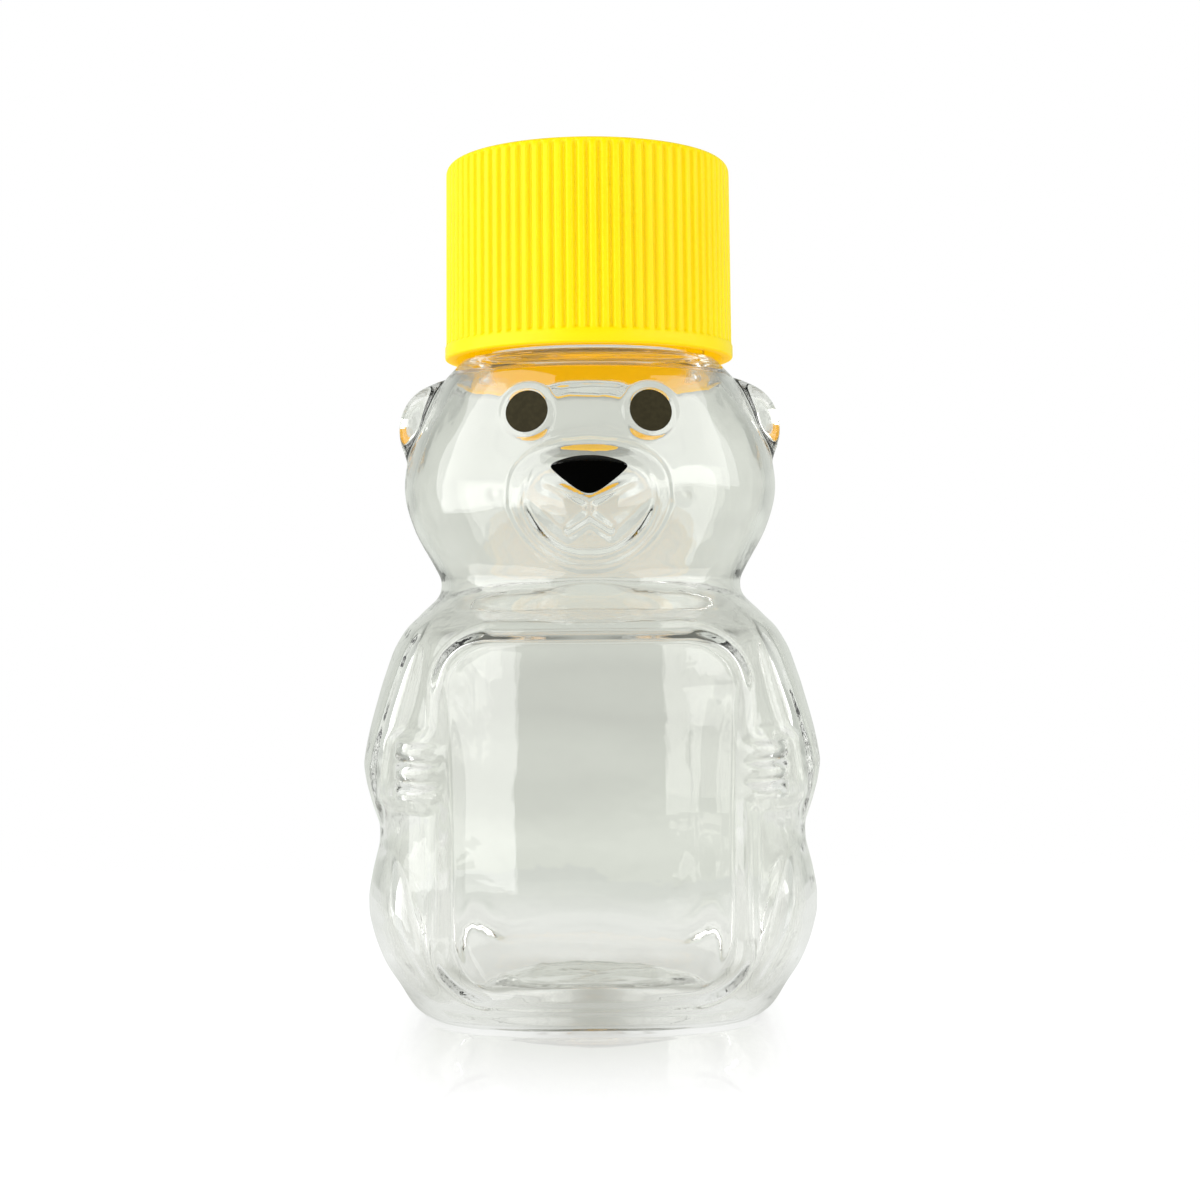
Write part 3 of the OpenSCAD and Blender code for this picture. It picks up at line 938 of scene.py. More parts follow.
@dataclass
class BearBottle:
    """The blown bottle: one closed wall from the base's middle, over the rim and back inside.

    The levels are heights at which the columns are spread, in shares of the crown's, with their weights. A
    pair is a range over which a form runs or fades in; where there are two, the first is across or inner.
    """

    rim: float
    neck_height: float = 15.8
    neck_radius: float = 10.72
    bore_radius: float = 9.0
    wall: float = 0.75
    wander: float = 0.07
    columns: int = 600
    samples: int = 7201
    row_step: float = 0.2
    levels: tuple[Pair, ...] = ((0.3, 0.3), (0.77, 0.4), (0.89, 0.3))
    softening: int = 3
    smoothing: int = 60
    ear_smoothing: int = 14
    limb_fillet: float = 0.7
    pad_fillet: float = 0.2
    ear_fillet: float = 0.8
    ear_cup: float = 1.1
    ear_cup_radius: float = 3.3
    ear_cup_aside: float = 0.6
    ear_cup_edge: Pair = (0.35, 1.0)
    ear_front: tuple[Pair, Pair] = ((-0.6, 0.4), (2.6, 3.8))
    ear_inner: Pair = (14.6, 15.6)
    ear_soft: tuple[Pair, Pair] = ((13.2, 14.4), (46.5, 48.5))
    ear_root: tuple[Pair, Pair] = ((45.0, 47.0), (0.75, 0.85))
    finger_count: int = 3
    finger_height: float = 0.55
    finger_pitch: float = 1.73
    finger_low: float = 20.1
    finger_ends: tuple[Pair, Pair] = ((13.0, 13.7), (16.4, 17.1))
    finger_flank: Pair = (0.35, 0.76)
    finger_front: float = 8.0
    heel_rows: tuple[float, ...] = (0.42, 0.55, 0.75, 1.0)
    heel_in: float = 0.28
    heel_span: Pair = (0.4, 1.0)
    first_row: float = 1.25
    crown_gap: float = 0.15
    neck_row: float = 0.22
    neck_ends: Pair = (0.05, 0.45)
    neck_root: float = 0.35
    neck_root_height: float = 0.4
    rim_round: float = 0.35
    rim_rows: int = 15
    bore_row: float = 0.9
    bore_ends: Pair = (0.2, 0.8)
    bore_flare: tuple[Pair, ...] = ((0.12, 0.45), (0.6, 0.85), (1.5, 1.15))
    inner_top: float = 1.25
    thread_drop: float = 2.0
    thread_turns: float = 1.5
    thread_height: float = 1.03
    face: Face = field(default_factory=Face)
    panel: LabelPanel = field(default_factory=LabelPanel)
    underside: Underside = field(default_factory=Underside)

    def __post_init__(self) -> None:
        """Work out the bear's forms from its two main lengths."""
        self.crown = self.rim - self.neck_height
        size = Proportions(self.crown)
        self.trunk = Trunk(size, self.neck_radius)
        # Upper arm, forearm, paw, thigh and foot
        self.limbs = (
            size.swelling((74.0, -2.1, 41.9), (28.5, 26.9, 17.6), 5, 0),
            size.swelling((81.0, -16.6, 37.5), (24.4, 42.5, 6.6), 3, -6),
            size.swelling((66.0, -54.5, 38.3), (22.3, 23.3, 5.2)),
            size.swelling((71.0, -18.7, 18.1), (33.2, 48.7, 9.5), -6, -4),
            size.swelling((60.1, -47.7, 7.8), (22.3, 22.8, 7.4)),
        )
        arm = (
            *((17.0, 0.0), (19.2, 0.8), (21.0, 1.35), (22.7, 1.72)),
            *((26.0, 1.55), (30.0, 1.3), (33.0, 0.9), (36.2, 0.0)),
        )
        leg = (
            *((3.0, 0.0), (4.9, 0.35), (7.5, 0.95), (9.3, 1.28)),
            *((11.0, 1.22), (12.8, 0.82), (14.8, 0.3), (16.0, 0.0)),
        )
        hand = ((19.2, 0.0), (20.0, 0.75), (25.4, 0.85), (26.4, 0.0))
        self.pads = (
            Pad(arm, (-27.0, -40.0), (38.0, 44.0)),
            Pad(leg, (-50.0, -36.0), (34.0, 34.0)),
            Pad(hand, (-50.0, -50.0), (-20.0, -20.0), edge=4.0),
        )
        self.ear = size.swelling((69.4, 2.1, 89.7), (22.5, 11.9, 7.8))

    def angles(self) -> np.ndarray:
        """Place the columns round the bottle, closer where the ears, the muzzle and the limbs run steeply.

        Returns:
            The columns' angles, in radians.
        """
        fine = np.linspace(-math.pi, math.pi, self.samples)
        run = np.zeros(len(fine) - 1)
        for level, weight in self.levels:
            height = np.full_like(fine, level * self.crown)
            radius = self.skin_radius(fine, height)
            ring = np.stack([radius * np.cos(fine), radius * np.sin(fine), height], axis=-1)[None]
            ring = self.face.shape(ring)[0]
            step = np.linalg.norm(np.diff(ring, axis=0), axis=-1)
            run += weight * step / step.sum()
        share = np.concatenate([[0.0], np.cumsum(run)])
        even = (np.arange(self.columns) + 0.5) / self.columns * share[-1]
        return np.interp(even, share, fine)

    def skin_radius(self, angle: np.ndarray, height: np.ndarray) -> np.ndarray:
        """Measure from the neck's axis to the outer skin, without the face.

        Args:
            angle: Angles about the neck's axis, in radians.
            height: Heights, in millimetres.

        Returns:
            Distances, in millimetres.
        """
        bare = self.trunk.reach(angle, height)
        radius = bare
        for limb in self.limbs:
            radius = blend(radius, limb.reach(angle, height), self.limb_fillet)
        for pad in self.pads:
            radius = blend(radius, bare + pad.height(angle, height), self.pad_fillet)
        radius = blend(radius, self.ear.reach(angle, height), self.ear_fillet)
        return self.panel.sink(angle, height, radius)

    def fingers(self, rings: np.ndarray) -> np.ndarray:
        """Give the height of the three flat-topped fingers that cross each paw.

        Args:
            rings: The skin's points, in millimetres.

        Returns:
            Heights over the skin, in millimetres.
        """
        x, y, z = np.abs(rings[..., 0]), rings[..., 1], rings[..., 2]
        inner, outer = self.finger_ends
        within = smoothstep(x, *inner) * (1.0 - smoothstep(x, *outer))
        phase = (z - self.finger_low) / self.finger_pitch
        off = np.abs(np.mod(phase, 1.0) - 0.5) * self.finger_pitch
        ridge = 1.0 - smoothstep(off, *self.finger_flank)
        inside = (phase > 0.0) & (phase < self.finger_count) & (y < -self.finger_front)
        return self.finger_height * within * ridge * inside

    def cup_ears(self, rings: np.ndarray) -> np.ndarray:
        """Hollow the front of each ear, inside its rim.

        Args:
            rings: The skin's points, in millimetres.

        Returns:
            The points with the ears hollowed.
        """
        x, y, z = np.abs(rings[..., 0]), rings[..., 1], rings[..., 2]
        centre_x, _, centre_z = self.ear.centre
        off = np.hypot(x - centre_x - self.ear_cup_aside, z - centre_z) / self.ear_cup_radius
        depth = self.ear_cup * (1.0 - smoothstep(off, *self.ear_cup_edge))
        near, far = self.ear_front
        front = smoothstep(-y, *near) * (1.0 - smoothstep(-y, *far)) * smoothstep(x, *self.ear_inner)
        cupped = rings.copy()
        cupped[..., 1] = y + depth * front
        return cupped

    def base_rows(self, angle: np.ndarray) -> np.ndarray:
        """Lay the rings of the underside, from its middle out to the heel.

        Args:
            angle: The columns' angles.

        Returns:
            The underside's points.
        """
        foot = self.skin_radius(angle, np.full_like(angle, self.underside.foot))
        rings = []
        for share in self.underside.shares():
            radius = share * (foot - self.underside.heel)
            height = self.underside.height(radius, share)
            rings.append(np.stack([radius * np.cos(angle), radius * np.sin(angle), height], axis=-1))
        return np.array(rings)

    def outer_skin(self, angle: np.ndarray) -> np.ndarray:
        """Lay the rings of the outer skin, from the base's middle to the crown.

        Args:
            angle: The columns' angles.

        Returns:
            The skin's points.
        """
        body = np.arange(self.first_row, self.crown - self.crown_gap, self.row_step)
        heights = np.concatenate([self.heel_rows, body, [self.crown]])
        z = np.repeat(heights[:, None], self.columns, axis=1)
        a = np.repeat(angle[None, :], len(heights), axis=0)
        radius = self.skin_radius(a, z)
        radius = radius - self.heel_in * (1.0 - smoothstep(z, *self.heel_span))
        rings = np.stack([radius * np.cos(a), radius * np.sin(a), z], axis=-1)
        grown = 1.0 + self.fingers(rings) / radius
        rings[..., 0] *= grown
        rings[..., 1] *= grown
        rings = self.cup_ears(self.face.shape(rings))
        rings = self.smoothed(rings, self.softening)
        aside, above = self.ear_soft
        at_ear = smoothstep(np.abs(rings[..., 0]), *aside) * smoothstep(z, *above)
        rings += at_ear[..., None] * (self.smoothed(rings, self.ear_smoothing) - rings)
        return np.concatenate([self.base_rows(angle), rings])

    @staticmethod
    def smoothed(rings: np.ndarray, passes: int) -> np.ndarray:
        """Soften a skin by averaging each point with its neighbours, a number of times over.

        Args:
            rings: The skin's points, in millimetres.
            passes: How many times the points are averaged.

        Returns:
            The softened points.
        """
        soft = rings.copy()
        for _ in range(passes):
            around = (np.roll(soft, 1, axis=1) + np.roll(soft, -1, axis=1)) / 2
            middle = (soft[:-2] + soft[2:]) / 2
            soft[1:-1] = 0.5 * soft[1:-1] + 0.25 * (around[1:-1] + middle)
        return soft

    def without_ears(self, skin: np.ndarray, angle: np.ndarray) -> np.ndarray:
        """Close the skin across the roots of the ears, which blow almost solid.

        Args:
            skin: The skin's points, in millimetres.
            angle: The columns' angles.

        Returns:
            The points with the trunk in place of the ears.
        """
        above = len(skin) - len(self.base_rows(angle))
        z = skin[-above:, :, 2]
        around = np.repeat(angle[None, :], above, axis=0)
        radius = self.trunk.reach(around, z)
        bare = np.stack([radius * np.cos(around), radius * np.sin(around), z], axis=-1)
        levels, sides = self.ear_root
        share = smoothstep(z, *levels) * smoothstep(np.abs(np.cos(around)), *sides)
        closed = skin.copy()
        closed[-above:] += share[..., None] * (bare - closed[-above:])
        return closed

    def inner_skin(self, outer: np.ndarray, angle: np.ndarray) -> np.ndarray:
        """Lay the inside of the wall a wandering thickness within the outer skin, and softer, as blown.

        Args:
            outer: The outer skin's points.
            angle: The columns' angles.

        Returns:
            The inner skin's points, up to the neck.
        """
        soft = self.without_ears(self.smoothed(outer, self.smoothing), angle)
        soft = self.smoothed(soft, self.ear_smoothing)
        along = np.gradient(soft, axis=0)
        around = (np.roll(soft, -1, axis=1) - np.roll(soft, 1, axis=1)) / 2
        normal = np.cross(around, along)
        normal /= np.linalg.norm(normal, axis=-1, keepdims=True)
        z = soft[..., 2]
        drift = np.sin(3 * angle + 0.31 * z) + np.sin(5 * angle - 0.43 * z + 1.3) * 0.6 + np.sin(0.9 * z)
        thickness = self.wall * (1.0 + self.wander * drift / 2)
        inside = soft - normal * thickness[..., None]
        keep = outer[..., 2].max(axis=1) < self.crown - self.inner_top
        return inside[keep]

    def neck_rings(self, angle: np.ndarray) -> np.ndarray:
        """Lay the rings of the neck: root fillet, thread, rounded rim and bore.

        Args:
            angle: The columns' angles.

        Returns:
            The neck's points, up the outside and down the bore.
        """
        thread = Thread(self.rim - self.thread_drop, self.thread_turns, self.thread_height)
        outside = []
        low, high = self.neck_ends
        for height in np.arange(self.crown + low, self.rim - high, self.neck_row):
            z = np.full_like(angle, height)
            fillet = self.neck_root * (1.0 - smoothstep(z, self.crown, self.crown + self.neck_root_height))
            radius = self.neck_radius + fillet + thread.relief(angle, z)
            outside.append(np.stack([radius * np.cos(angle), radius * np.sin(angle), z], axis=-1))
        middle = (self.neck_radius + self.bore_radius) / 2
        half = (self.neck_radius - self.bore_radius) / 2
        for turn in np.linspace(0.0, math.pi, self.rim_rows):
            lip = half - self.rim_round + self.rim_round * abs(math.cos(turn))
            radius = middle + math.copysign(lip, math.cos(turn)) if turn != math.pi / 2 else middle
            height = self.rim - self.rim_round + self.rim_round * math.sin(turn)
            outside.append(self._ring(angle, radius, height))
        low, high = self.bore_ends
        for height in np.arange(self.rim - high, self.crown - low, -self.bore_row):
            outside.append(self._ring(angle, self.bore_radius, height))
        for wider, below in self.bore_flare:
            outside.append(self._ring(angle, self.bore_radius + wider, self.crown - below))
        return np.array(outside)

    @staticmethod
    def _ring(angle: np.ndarray, radius: float, height: float) -> np.ndarray:
        """Lay one round ring."""
        level = np.full_like(angle, height)
        return np.stack([radius * np.cos(angle), radius * np.sin(angle), level], axis=-1)

    def build(self) -> bpy.types.Object:
        """Make the bottle's mesh.

        Returns:
            The bottle as one closed wall.
        """
        angle = self.angles()
        outer = self.outer_skin(angle)
        inner = self.inner_skin(outer, angle)
        rings = np.concatenate([outer, self.neck_rings(angle), inner[::-1]])
        return grid_mesh("bear_bottle", rings, True, True)


@dataclass
class ScrewCap:
    """The ribbed closure: outer ribs over a plain band, and a threaded skirt inside."""

    low: float
    top: float
    band_radius: float
    rim: float
    band_height: float = 1.2
    band_step: float = 0.1
    draft: float = 0.14
    edge: float = 0.9
    edge_rows: int = 14
    rib_rows: int = 24
    dish: float = 0.02
    rib_count: int = 80
    rib_depth: float = 0.34
    rib_round: Pair = (0.4, 1.0)
    rib_start: Pair = (0.55, 1.35)
    columns_a_rib: int = 10
    bore: float = 12.0
    bore_row: float = 0.2
    lead_in: tuple[Pair, ...] = ((0.35, 0.0), (0.3, 0.1), (0.0, 0.8))
    bead_in: float = 0.55
    bead_levels: tuple[float, float, float, float] = (1.95, 1.65, 1.45, 1.15)
    roof: float = 1.4
    roof_rings: tuple[float, ...] = (9.0, 5.0, 1.5, 0.4)
    thread_drop: float = 3.5
    thread_turns: float = 1.75
    thread_height: float = 0.9
    # How far the inside's painted shade and painted glow reach: past the bore, up from the lower lip, and
    # under the roof
    painted_glow_rim: float = 0.36
    painted_glow_lip: float = 0.05
    painted_glow_slack: float = 0.01

    @property
    def radius(self) -> float:
        """Give the radius over the ribs, a step inside the plain band."""
        return self.band_radius - self.band_step

    def rib(self, angle: np.ndarray) -> np.ndarray:
        """Give the groove's share between the rounded ribs, 0 on a rib and 1 in a groove."""
        wave = 0.5 + 0.5 * np.cos(self.rib_count * angle)
        return smoothstep(wave, *self.rib_round)

    def outer_profile(self) -> list[Vec3]:
        """Give radius, height and rib share of each ring from the top's middle to the lower lip.

        Returns:
            The rings, in order.
        """
        slim = self.radius - self.draft
        flat = np.linspace(0.4, slim - self.edge, self.edge_rows)
        rows = [(r, self.top - self.dish * (1 - (r / slim) ** 2), 0.0) for r in flat]
        for turn in np.linspace(0.0, math.pi / 2, self.edge_rows)[1:]:
            share = smoothstep(np.array(turn), *self.rib_start)
            radius = slim - self.edge + self.edge * math.sin(turn)
            rows.append((radius, self.top - self.edge + self.edge * math.cos(turn), float(share)))
        band = self.low + self.band_height
        for height in np.linspace(self.top - self.edge - 0.4, band + 0.5, self.rib_rows):
            share = (self.top - height) / (self.top - self.low)
            rows.append((slim + self.draft * share, height, 1.0))
        wide = self.radius + self.band_step
        rows += [(self.radius - 0.01, band + 0.25, 0.9), (self.radius + 0.02, band + 0.08, 0.35)]
        rows += [(wide - 0.06, band, 0.0), (wide, band - 0.12, 0.0), (wide, self.low + 0.16, 0.0)]
        rows += [(wide - 0.05, self.low + 0.05, 0.0), (wide - 0.16, self.low, 0.0)]
        return rows

    def inner_profile(self) -> list[Pair]:
        """Give radius and height of each ring from the lower lip up the bore to the roof.

        Returns:
            The rings, in order.
        """
        roof = self.top - self.roof
        below, out, back, above = (roof - level for level in self.bead_levels)
        start = self.low + self.lead_in[-1][1] + self.bore_row
        rows = [(self.bore + wider, self.low + up) for wider, up in self.lead_in]
        rows += [(self.bore, height) for height in np.arange(start, below, self.bore_row)]
        rows += [(self.bore, below), (self.bore - self.bead_in, out), (self.bore - self.bead_in, back)]
        rows += [(self.bore, above), (self.bore, roof - 0.1), (self.bore - 0.1, roof)]
        rows += [(radius, roof) for radius in self.roof_rings]
        return rows

    def build(self) -> bpy.types.Object:
        """Make the cap's mesh.

        Returns:
            The cap as one closed solid.
        """
        columns = self.rib_count * self.columns_a_rib
        angle = np.arange(columns) * 2 * math.pi / columns
        groove = self.rib(angle)
        thread = Thread(self.rim - self.thread_drop, self.thread_turns, self.thread_height)
        rings = []
        for radius, height, share in self.outer_profile():
            level = np.full_like(angle, height)
            around = radius - share * self.rib_depth * groove
            rings.append(np.stack([around * np.cos(angle), around * np.sin(angle), level], axis=-1))
        for radius, height in self.inner_profile():
            level = np.full_like(angle, height)
            around = radius - (thread.relief(angle, level) if radius == self.bore else 0.0)
            rings.append(np.stack([around * np.cos(angle), around * np.sin(angle), level], axis=-1))
        return grid_mesh("screw_cap", np.array(rings)[::-1], True, True)

    def dress(self, piece: bpy.types.Object) -> None:
        """Give the cap its satin outside, and its inside and lower lip a deeper orange of painted shade with
        a painted glow.

        Args:
            piece: The cap's object.
        """
        dress(piece, MouldedPolypropylene().material())
        piece.data.materials.append(GlowPaintedPolypropylene().material())
        # Faces inside the cap and on its lower lip take the second finish, with its painted shade and painted
        # glow
        centres = np.zeros(len(piece.data.polygons) * 3)
        piece.data.polygons.foreach_get("center", centres)
        x, y, z = centres.reshape(-1, 3).T / MM
        lip = z < self.low + self.painted_glow_lip
        under_roof = z < self.top - self.roof + self.painted_glow_slack
        inside = (np.hypot(x, y) < self.bore + self.painted_glow_rim) & under_roof | lip
        piece.data.polygons.foreach_set("material_index", inside.astype(np.int32))


@dataclass
class PaintedMark:
    """An eye: a thin printed film on its moulded boss, with a rounded edge."""

    node: str
    edge: float = 0.04
    edge_steps: int = 3

    def build(self) -> bpy.types.Object:
        """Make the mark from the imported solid.

        Returns:
            The mark, with rounded edges.
        """
        source = bpy.data.objects[self.node]
        mesh = source.data.copy()
        mesh.name = f"{self.node}_film"
        piece = bpy.data.objects.new(f"{self.node}_film", mesh)
        bpy.context.scene.collection.objects.link(piece)
        bevel = piece.modifiers.new("edge", "BEVEL")
        bevel.width = self.edge * MM
        bevel.segments = self.edge_steps
        bevel.limit_method = "ANGLE"
        return piece


@dataclass
class PaintedNose:
    """The nose: a thin printed film with an arched top, rounded corners and full sides, on the muzzle.

    A section is a share of the outline's size and one of the film's thickness, from the back to the front.
    """

    face: Face
    thickness: float = 0.12
    clearance: float = 0.015
    corner_cuts: int = 3
    right_half: tuple[Pair, ...] = (
        *((0.0, 49.64), (1.3, 49.54), (2.4, 49.24), (3.1, 48.93), (3.3, 48.64)),
        *((3.08, 48.3), (2.2, 47.5), (1.2, 46.72), (0.5, 46.33), (0.0, 46.24)),
    )
    sections: tuple[Pair, ...] = (
        *((0.1, 0.0), (0.4, 0.0), (0.7, 0.0), (0.9, 0.0), (0.985, 0.0), (1.0, 0.4)),
        *((0.992, 0.8), (0.97, 1.0), (0.9, 1.0), (0.7, 1.0), (0.4, 1.0), (0.1, 1.0)),
    )

    def outline(self) -> np.ndarray:
        """Mirror the right half and cut the corners until they are round.

        Returns:
            Points of the closed outline, as x and z.
        """
        left = [(-x, z) for x, z in self.right_half[-2:0:-1]]
        points = np.array(list(self.right_half) + left)
        for _ in range(self.corner_cuts):
            after = np.roll(points, -1, axis=0)
            cut = [0.75 * points + 0.25 * after, 0.25 * points + 0.75 * after]
            points = np.stack(cut, axis=1).reshape(-1, 2)
        return points

    def ring(self, share: float, lift: float) -> np.ndarray:
        """Lay the outline, shrunk to a share, at a height over the muzzle.

        Args:
            share: The share of the outline's size.
            lift: The height over the muzzle, in millimetres.

        Returns:
            The ring's points, in millimetres.
        """
        outline = self.outline()
        middle = outline.mean(axis=0)
        x, z = (middle + (outline - middle) * share).T
        return np.stack([x, -self.face.muzzle(x, z) - self.clearance - lift, z], axis=-1)

    def build(self) -> bpy.types.Object:
        """Make the nose's mesh.

        Returns:
            The film as one closed solid, whose edge is rounded.
        """
        rings = [self.ring(share, self.thickness * lift) for share, lift in self.sections]
        return grid_mesh("nose_film", np.array(rings), True, True)


@dataclass(frozen=True)
class SoftBox:
    """A soft lamp, in metres and watts; one that isn't in the glass is flagged, and lights what is solid."""

    name: str
    place: Vec3
    size: Pair
    power: float
    aim_height: float
    in_glass: bool

    def hang(self) -> None:
        """Hang the lamp, turned to the neck's axis."""
        data = bpy.data.lights.new(self.name, "AREA")
        data.shape = "RECTANGLE"
        data.size, data.size_y = self.size
        data.energy = self.power
        lamp = bpy.data.objects.new(self.name, data)
        lamp.location = self.place
        lamp.visible_glossy = lamp.visible_transmission = self.in_glass
        aim = Vector((0.0, 0.0, self.aim_height)) - Vector(self.place)
        lamp.rotation_euler = aim.to_track_quat("-Z", "Y").to_euler()
        bpy.context.scene.collection.objects.link(lamp)


@dataclass
class Studio:
    """The pale floor, the soft lights and the camera of the product shot.

    What the eye sees straight is white. What the glass sees is a soft grey studio, whose colours are stops
    from the bottle outwards on the floor, from front to back on the wall, and upwards for the rest. The
    floor's stops paint a shadow under the bottle and a pool of light round it, and its corners are painted
    lighter.
    """

    eye_height: float = 37.3
    distance: float = 181.0
    aside: float = 0.83
    focal_px: float = 1952.0
    picture_px: float = 1200.0
    sensor_mm: float = 36.0
    near_clip: float = 0.01
    roll: float = math.radians(0.48)
    floor_half: float = 90.0
    floor_white: float = 1.08
    floor_roughness: float = 0.04
    sheen: float = 0.66
    sheen_fade: Pair = (14.0, 42.0)
    sheen_strip: Pair = (13.0, 19.0)
    floor_reach: float = 200.0
    # Seen in the glass: a painted shadow darkest under the bottle's foot, a painted pool of light just beyond
    # it, and greyer further out
    floor_stops: Stops = (
        *((0.0, "B9BAB4"), (0.08, "C4C6C0"), (0.14, "F2F4F2")),
        *((0.4, "DCE0DB"), (1.0, "CBD0CA")),
    )
    # Painted light towards the floor's four corners, seen in the glass
    floor_corner_light: str = "E8EAE7"
    wall_stops: Stops = (
        *((0.0, "6F716F"), (0.35, "90938F"), (0.55, "BEC2BC"), (0.7, "B4B8B2")),
        *((0.88, "B6BAB4"), (0.96, "CFD2CC"), (1.0, "D3D6D0")),
    )
    horizon: float = -0.2
    bright_stops: Stops = (
        *((0.0, "C8C8C8"), (0.05, "BDBDBD"), (0.095, "7C7C7C"), (0.125, "181818")),
        *((0.167, "707070"), (0.233, "959595"), (0.5, "000000")),
    )
    bright: str = "F0F5ED"
    ceiling_stops: Stops = ((0.35, "000000"), (0.75, "F0F0F0"))
    ceiling: str = "3C3C30"
    light_bounces: int = 32
    boxes: tuple[SoftBox, ...] = (
        SoftBox("key", (-0.273, -0.136, 0.17), (0.452, 0.46), 1.4, 0.17, in_glass=True),
        SoftBox("fill", (0.293, -0.143, 0.18), (0.392, 0.32), 0.7, 0.18, in_glass=True),
        SoftBox("overhead", (0.0, 0.06, 0.45), (0.30, 0.26), 0.45, 0.0, in_glass=False),
        SoftBox("front", (0.15, -0.53, 0.12), (0.50, 0.40), 0.84, 0.12, in_glass=False),
    )

    def camera(self) -> None:
        """Set up the camera at the photograph's place and angle."""
        data = bpy.data.cameras.new("camera")
        data.sensor_width = self.sensor_mm
        data.sensor_fit = "HORIZONTAL"
        data.lens = self.focal_px / self.picture_px * self.sensor_mm
        data.clip_start = self.near_clip
        camera = bpy.data.objects.new("camera", data)
        camera.location = (self.aside * MM, -self.distance * MM, self.eye_height * MM)
        camera.rotation_euler = (math.pi / 2, self.roll, 0.0)
        bpy.context.scene.collection.objects.link(camera)
        bpy.context.scene.camera = camera

    @staticmethod
    def corner_share(tree: bpy.types.NodeTree, direction: bpy.types.NodeSocket) -> bpy.types.NodeSocket:
        """Give 0 towards the front, back and sides of the studio and 1 towards its corners.

        Args:
            tree: The node tree that gets the nodes.
            direction: A position or direction as seen from the bottle.

        Returns:
            The share, as an output socket.
        """
        flat = add_node(tree, VECTOR_MATH, {"operation": "MULTIPLY", 1: (1, 1, 0)}, {0: direction})
        unit = add_node(tree, VECTOR_MATH, {"operation": "NORMALIZE"}, {0: flat.outputs[0]})
        axes = add_node(tree, SEPARATE, {}, {0: unit.outputs[0]}).outputs
        product = add_node(tree, MATH, {"operation": "MULTIPLY"}, {0: axes["X"], 1: axes["Y"]})
        double = add_node(tree, MATH, {"operation": "MULTIPLY", 1: 2.0}, {0: product.outputs[0]})
        share = add_node(tree, MATH, {"operation": "POWER", 1: 2.0}, {0: double.outputs[0]})
        return share.outputs[0]

    @staticmethod
    def set_stops(ramp: bpy.types.Node, stops: Stops) -> bpy.types.NodeSocket:
        """Give a ramp its stops, each a position and an sRGB colour, and return its colour.

        Args:
            ramp: The ramp node.
            stops: The stops, from the first to the last.

        Returns:
            The ramp's colour, as an output socket.
        """
        elements = ramp.color_ramp.elements
        elements[0].position, elements[0].color = stops[0][0], linear(stops[0][1])
        elements[1].position, elements[1].color = stops[-1][0], linear(stops[-1][1])
        for position, colour in stops[1:-1]:
            elements.new(position).color = linear(colour)
        return ramp.outputs["Color"]

    def floor_sheen(self, tree: bpy.types.NodeTree, place: bpy.types.NodeSocket) -> bpy.types.NodeSocket:
        """Give the floor's gloss, which fades away from the bottle's foot and towards its sides.

        Args:
            tree: The node tree that gets the nodes.
            place: The position on the floor.

        Returns:
            The share of gloss, as an output socket.
        """
        near, far = self.sheen_fade
        inner, outer = self.sheen_strip
        reach = add_node(tree, VECTOR_MATH, {"operation": "LENGTH"}, {0: place})
        span = {"From Min": near * MM, "From Max": far * MM, "To Min": self.sheen, "To Max": 0.0}
        fade = add_node(tree, MAP_RANGE, span, {"Value": reach.outputs["Value"]})
        axes = add_node(tree, SEPARATE, {}, {0: place})
        aside = add_node(tree, MATH, {"operation": "ABSOLUTE"}, {0: axes.outputs["X"]})
        span = {"From Min": inner * MM, "From Max": outer * MM, "To Min": 1.0, "To Max": 0.0}
        strip = add_node(tree, MAP_RANGE, span, {"Value": aside.outputs[0]})
        shares = {0: fade.outputs["Result"], 1: strip.outputs["Result"]}
        return add_node(tree, MATH, {"operation": "MULTIPLY"}, shares).outputs[0]

    def floor_sheet(self) -> bpy.types.Material:
        """Build the floor's finish: a white sheet to the eye, and in the glass a grey one with a painted
        shadow under the bottle, a painted pool of light round it and painted light in its corners.

        Returns:
            The floor's material.
        """
        material = bpy.data.materials.new("white acrylic sheet")
        material.use_nodes = True
        tree = material.node_tree
        tree.nodes.clear()
        place = add_node(tree, "ShaderNodeTexCoord").outputs["Object"]
        white = add_node(tree, EMISSION, {"Color": linear("FFFFFF"), "Strength": self.floor_white})
        polish = {"Color": linear("FFFFFF"), "Roughness": self.floor_roughness}
        gloss = add_node(tree, "ShaderNodeBsdfGlossy", polish)
        layers = {0: self.floor_sheen(tree, place), 1: white.outputs[0], 2: gloss.outputs[0]}
        seen = add_node(tree, MIX_SHADER, {}, layers)
        reach = add_node(tree, VECTOR_MATH, {"operation": "LENGTH"}, {0: place})
        span = {"From Min": 0.0, "From Max": self.floor_reach * MM}
        far = add_node(tree, MAP_RANGE, span, {"Value": reach.outputs["Value"]})
        # The floor in the glass glows with the painted shadow, the painted pool of light and the lighter
        # corners
        ramp = add_node(tree, RAMP, {}, {"Fac": far.outputs["Result"]})
        grey = self.set_stops(ramp, self.floor_stops)
        corner = {"data_type": "RGBA", SECOND: linear(self.floor_corner_light)}
        colour = add_node(tree, MIX, corner, {0: self.corner_share(tree, place), FIRST: grey})
        lit = add_node(tree, EMISSION, {"Strength": 1.0}, {"Color": colour.outputs[MIXED]})
        ray = add_node(tree, "ShaderNodeLightPath").outputs["Is Camera Ray"]
        mix = add_node(tree, MIX_SHADER, {}, {0: ray, 1: lit.outputs[0], 2: seen.outputs[0]})
        add_node(tree, "ShaderNodeOutputMaterial", {}, {"Surface": mix.outputs[0]})
        return material

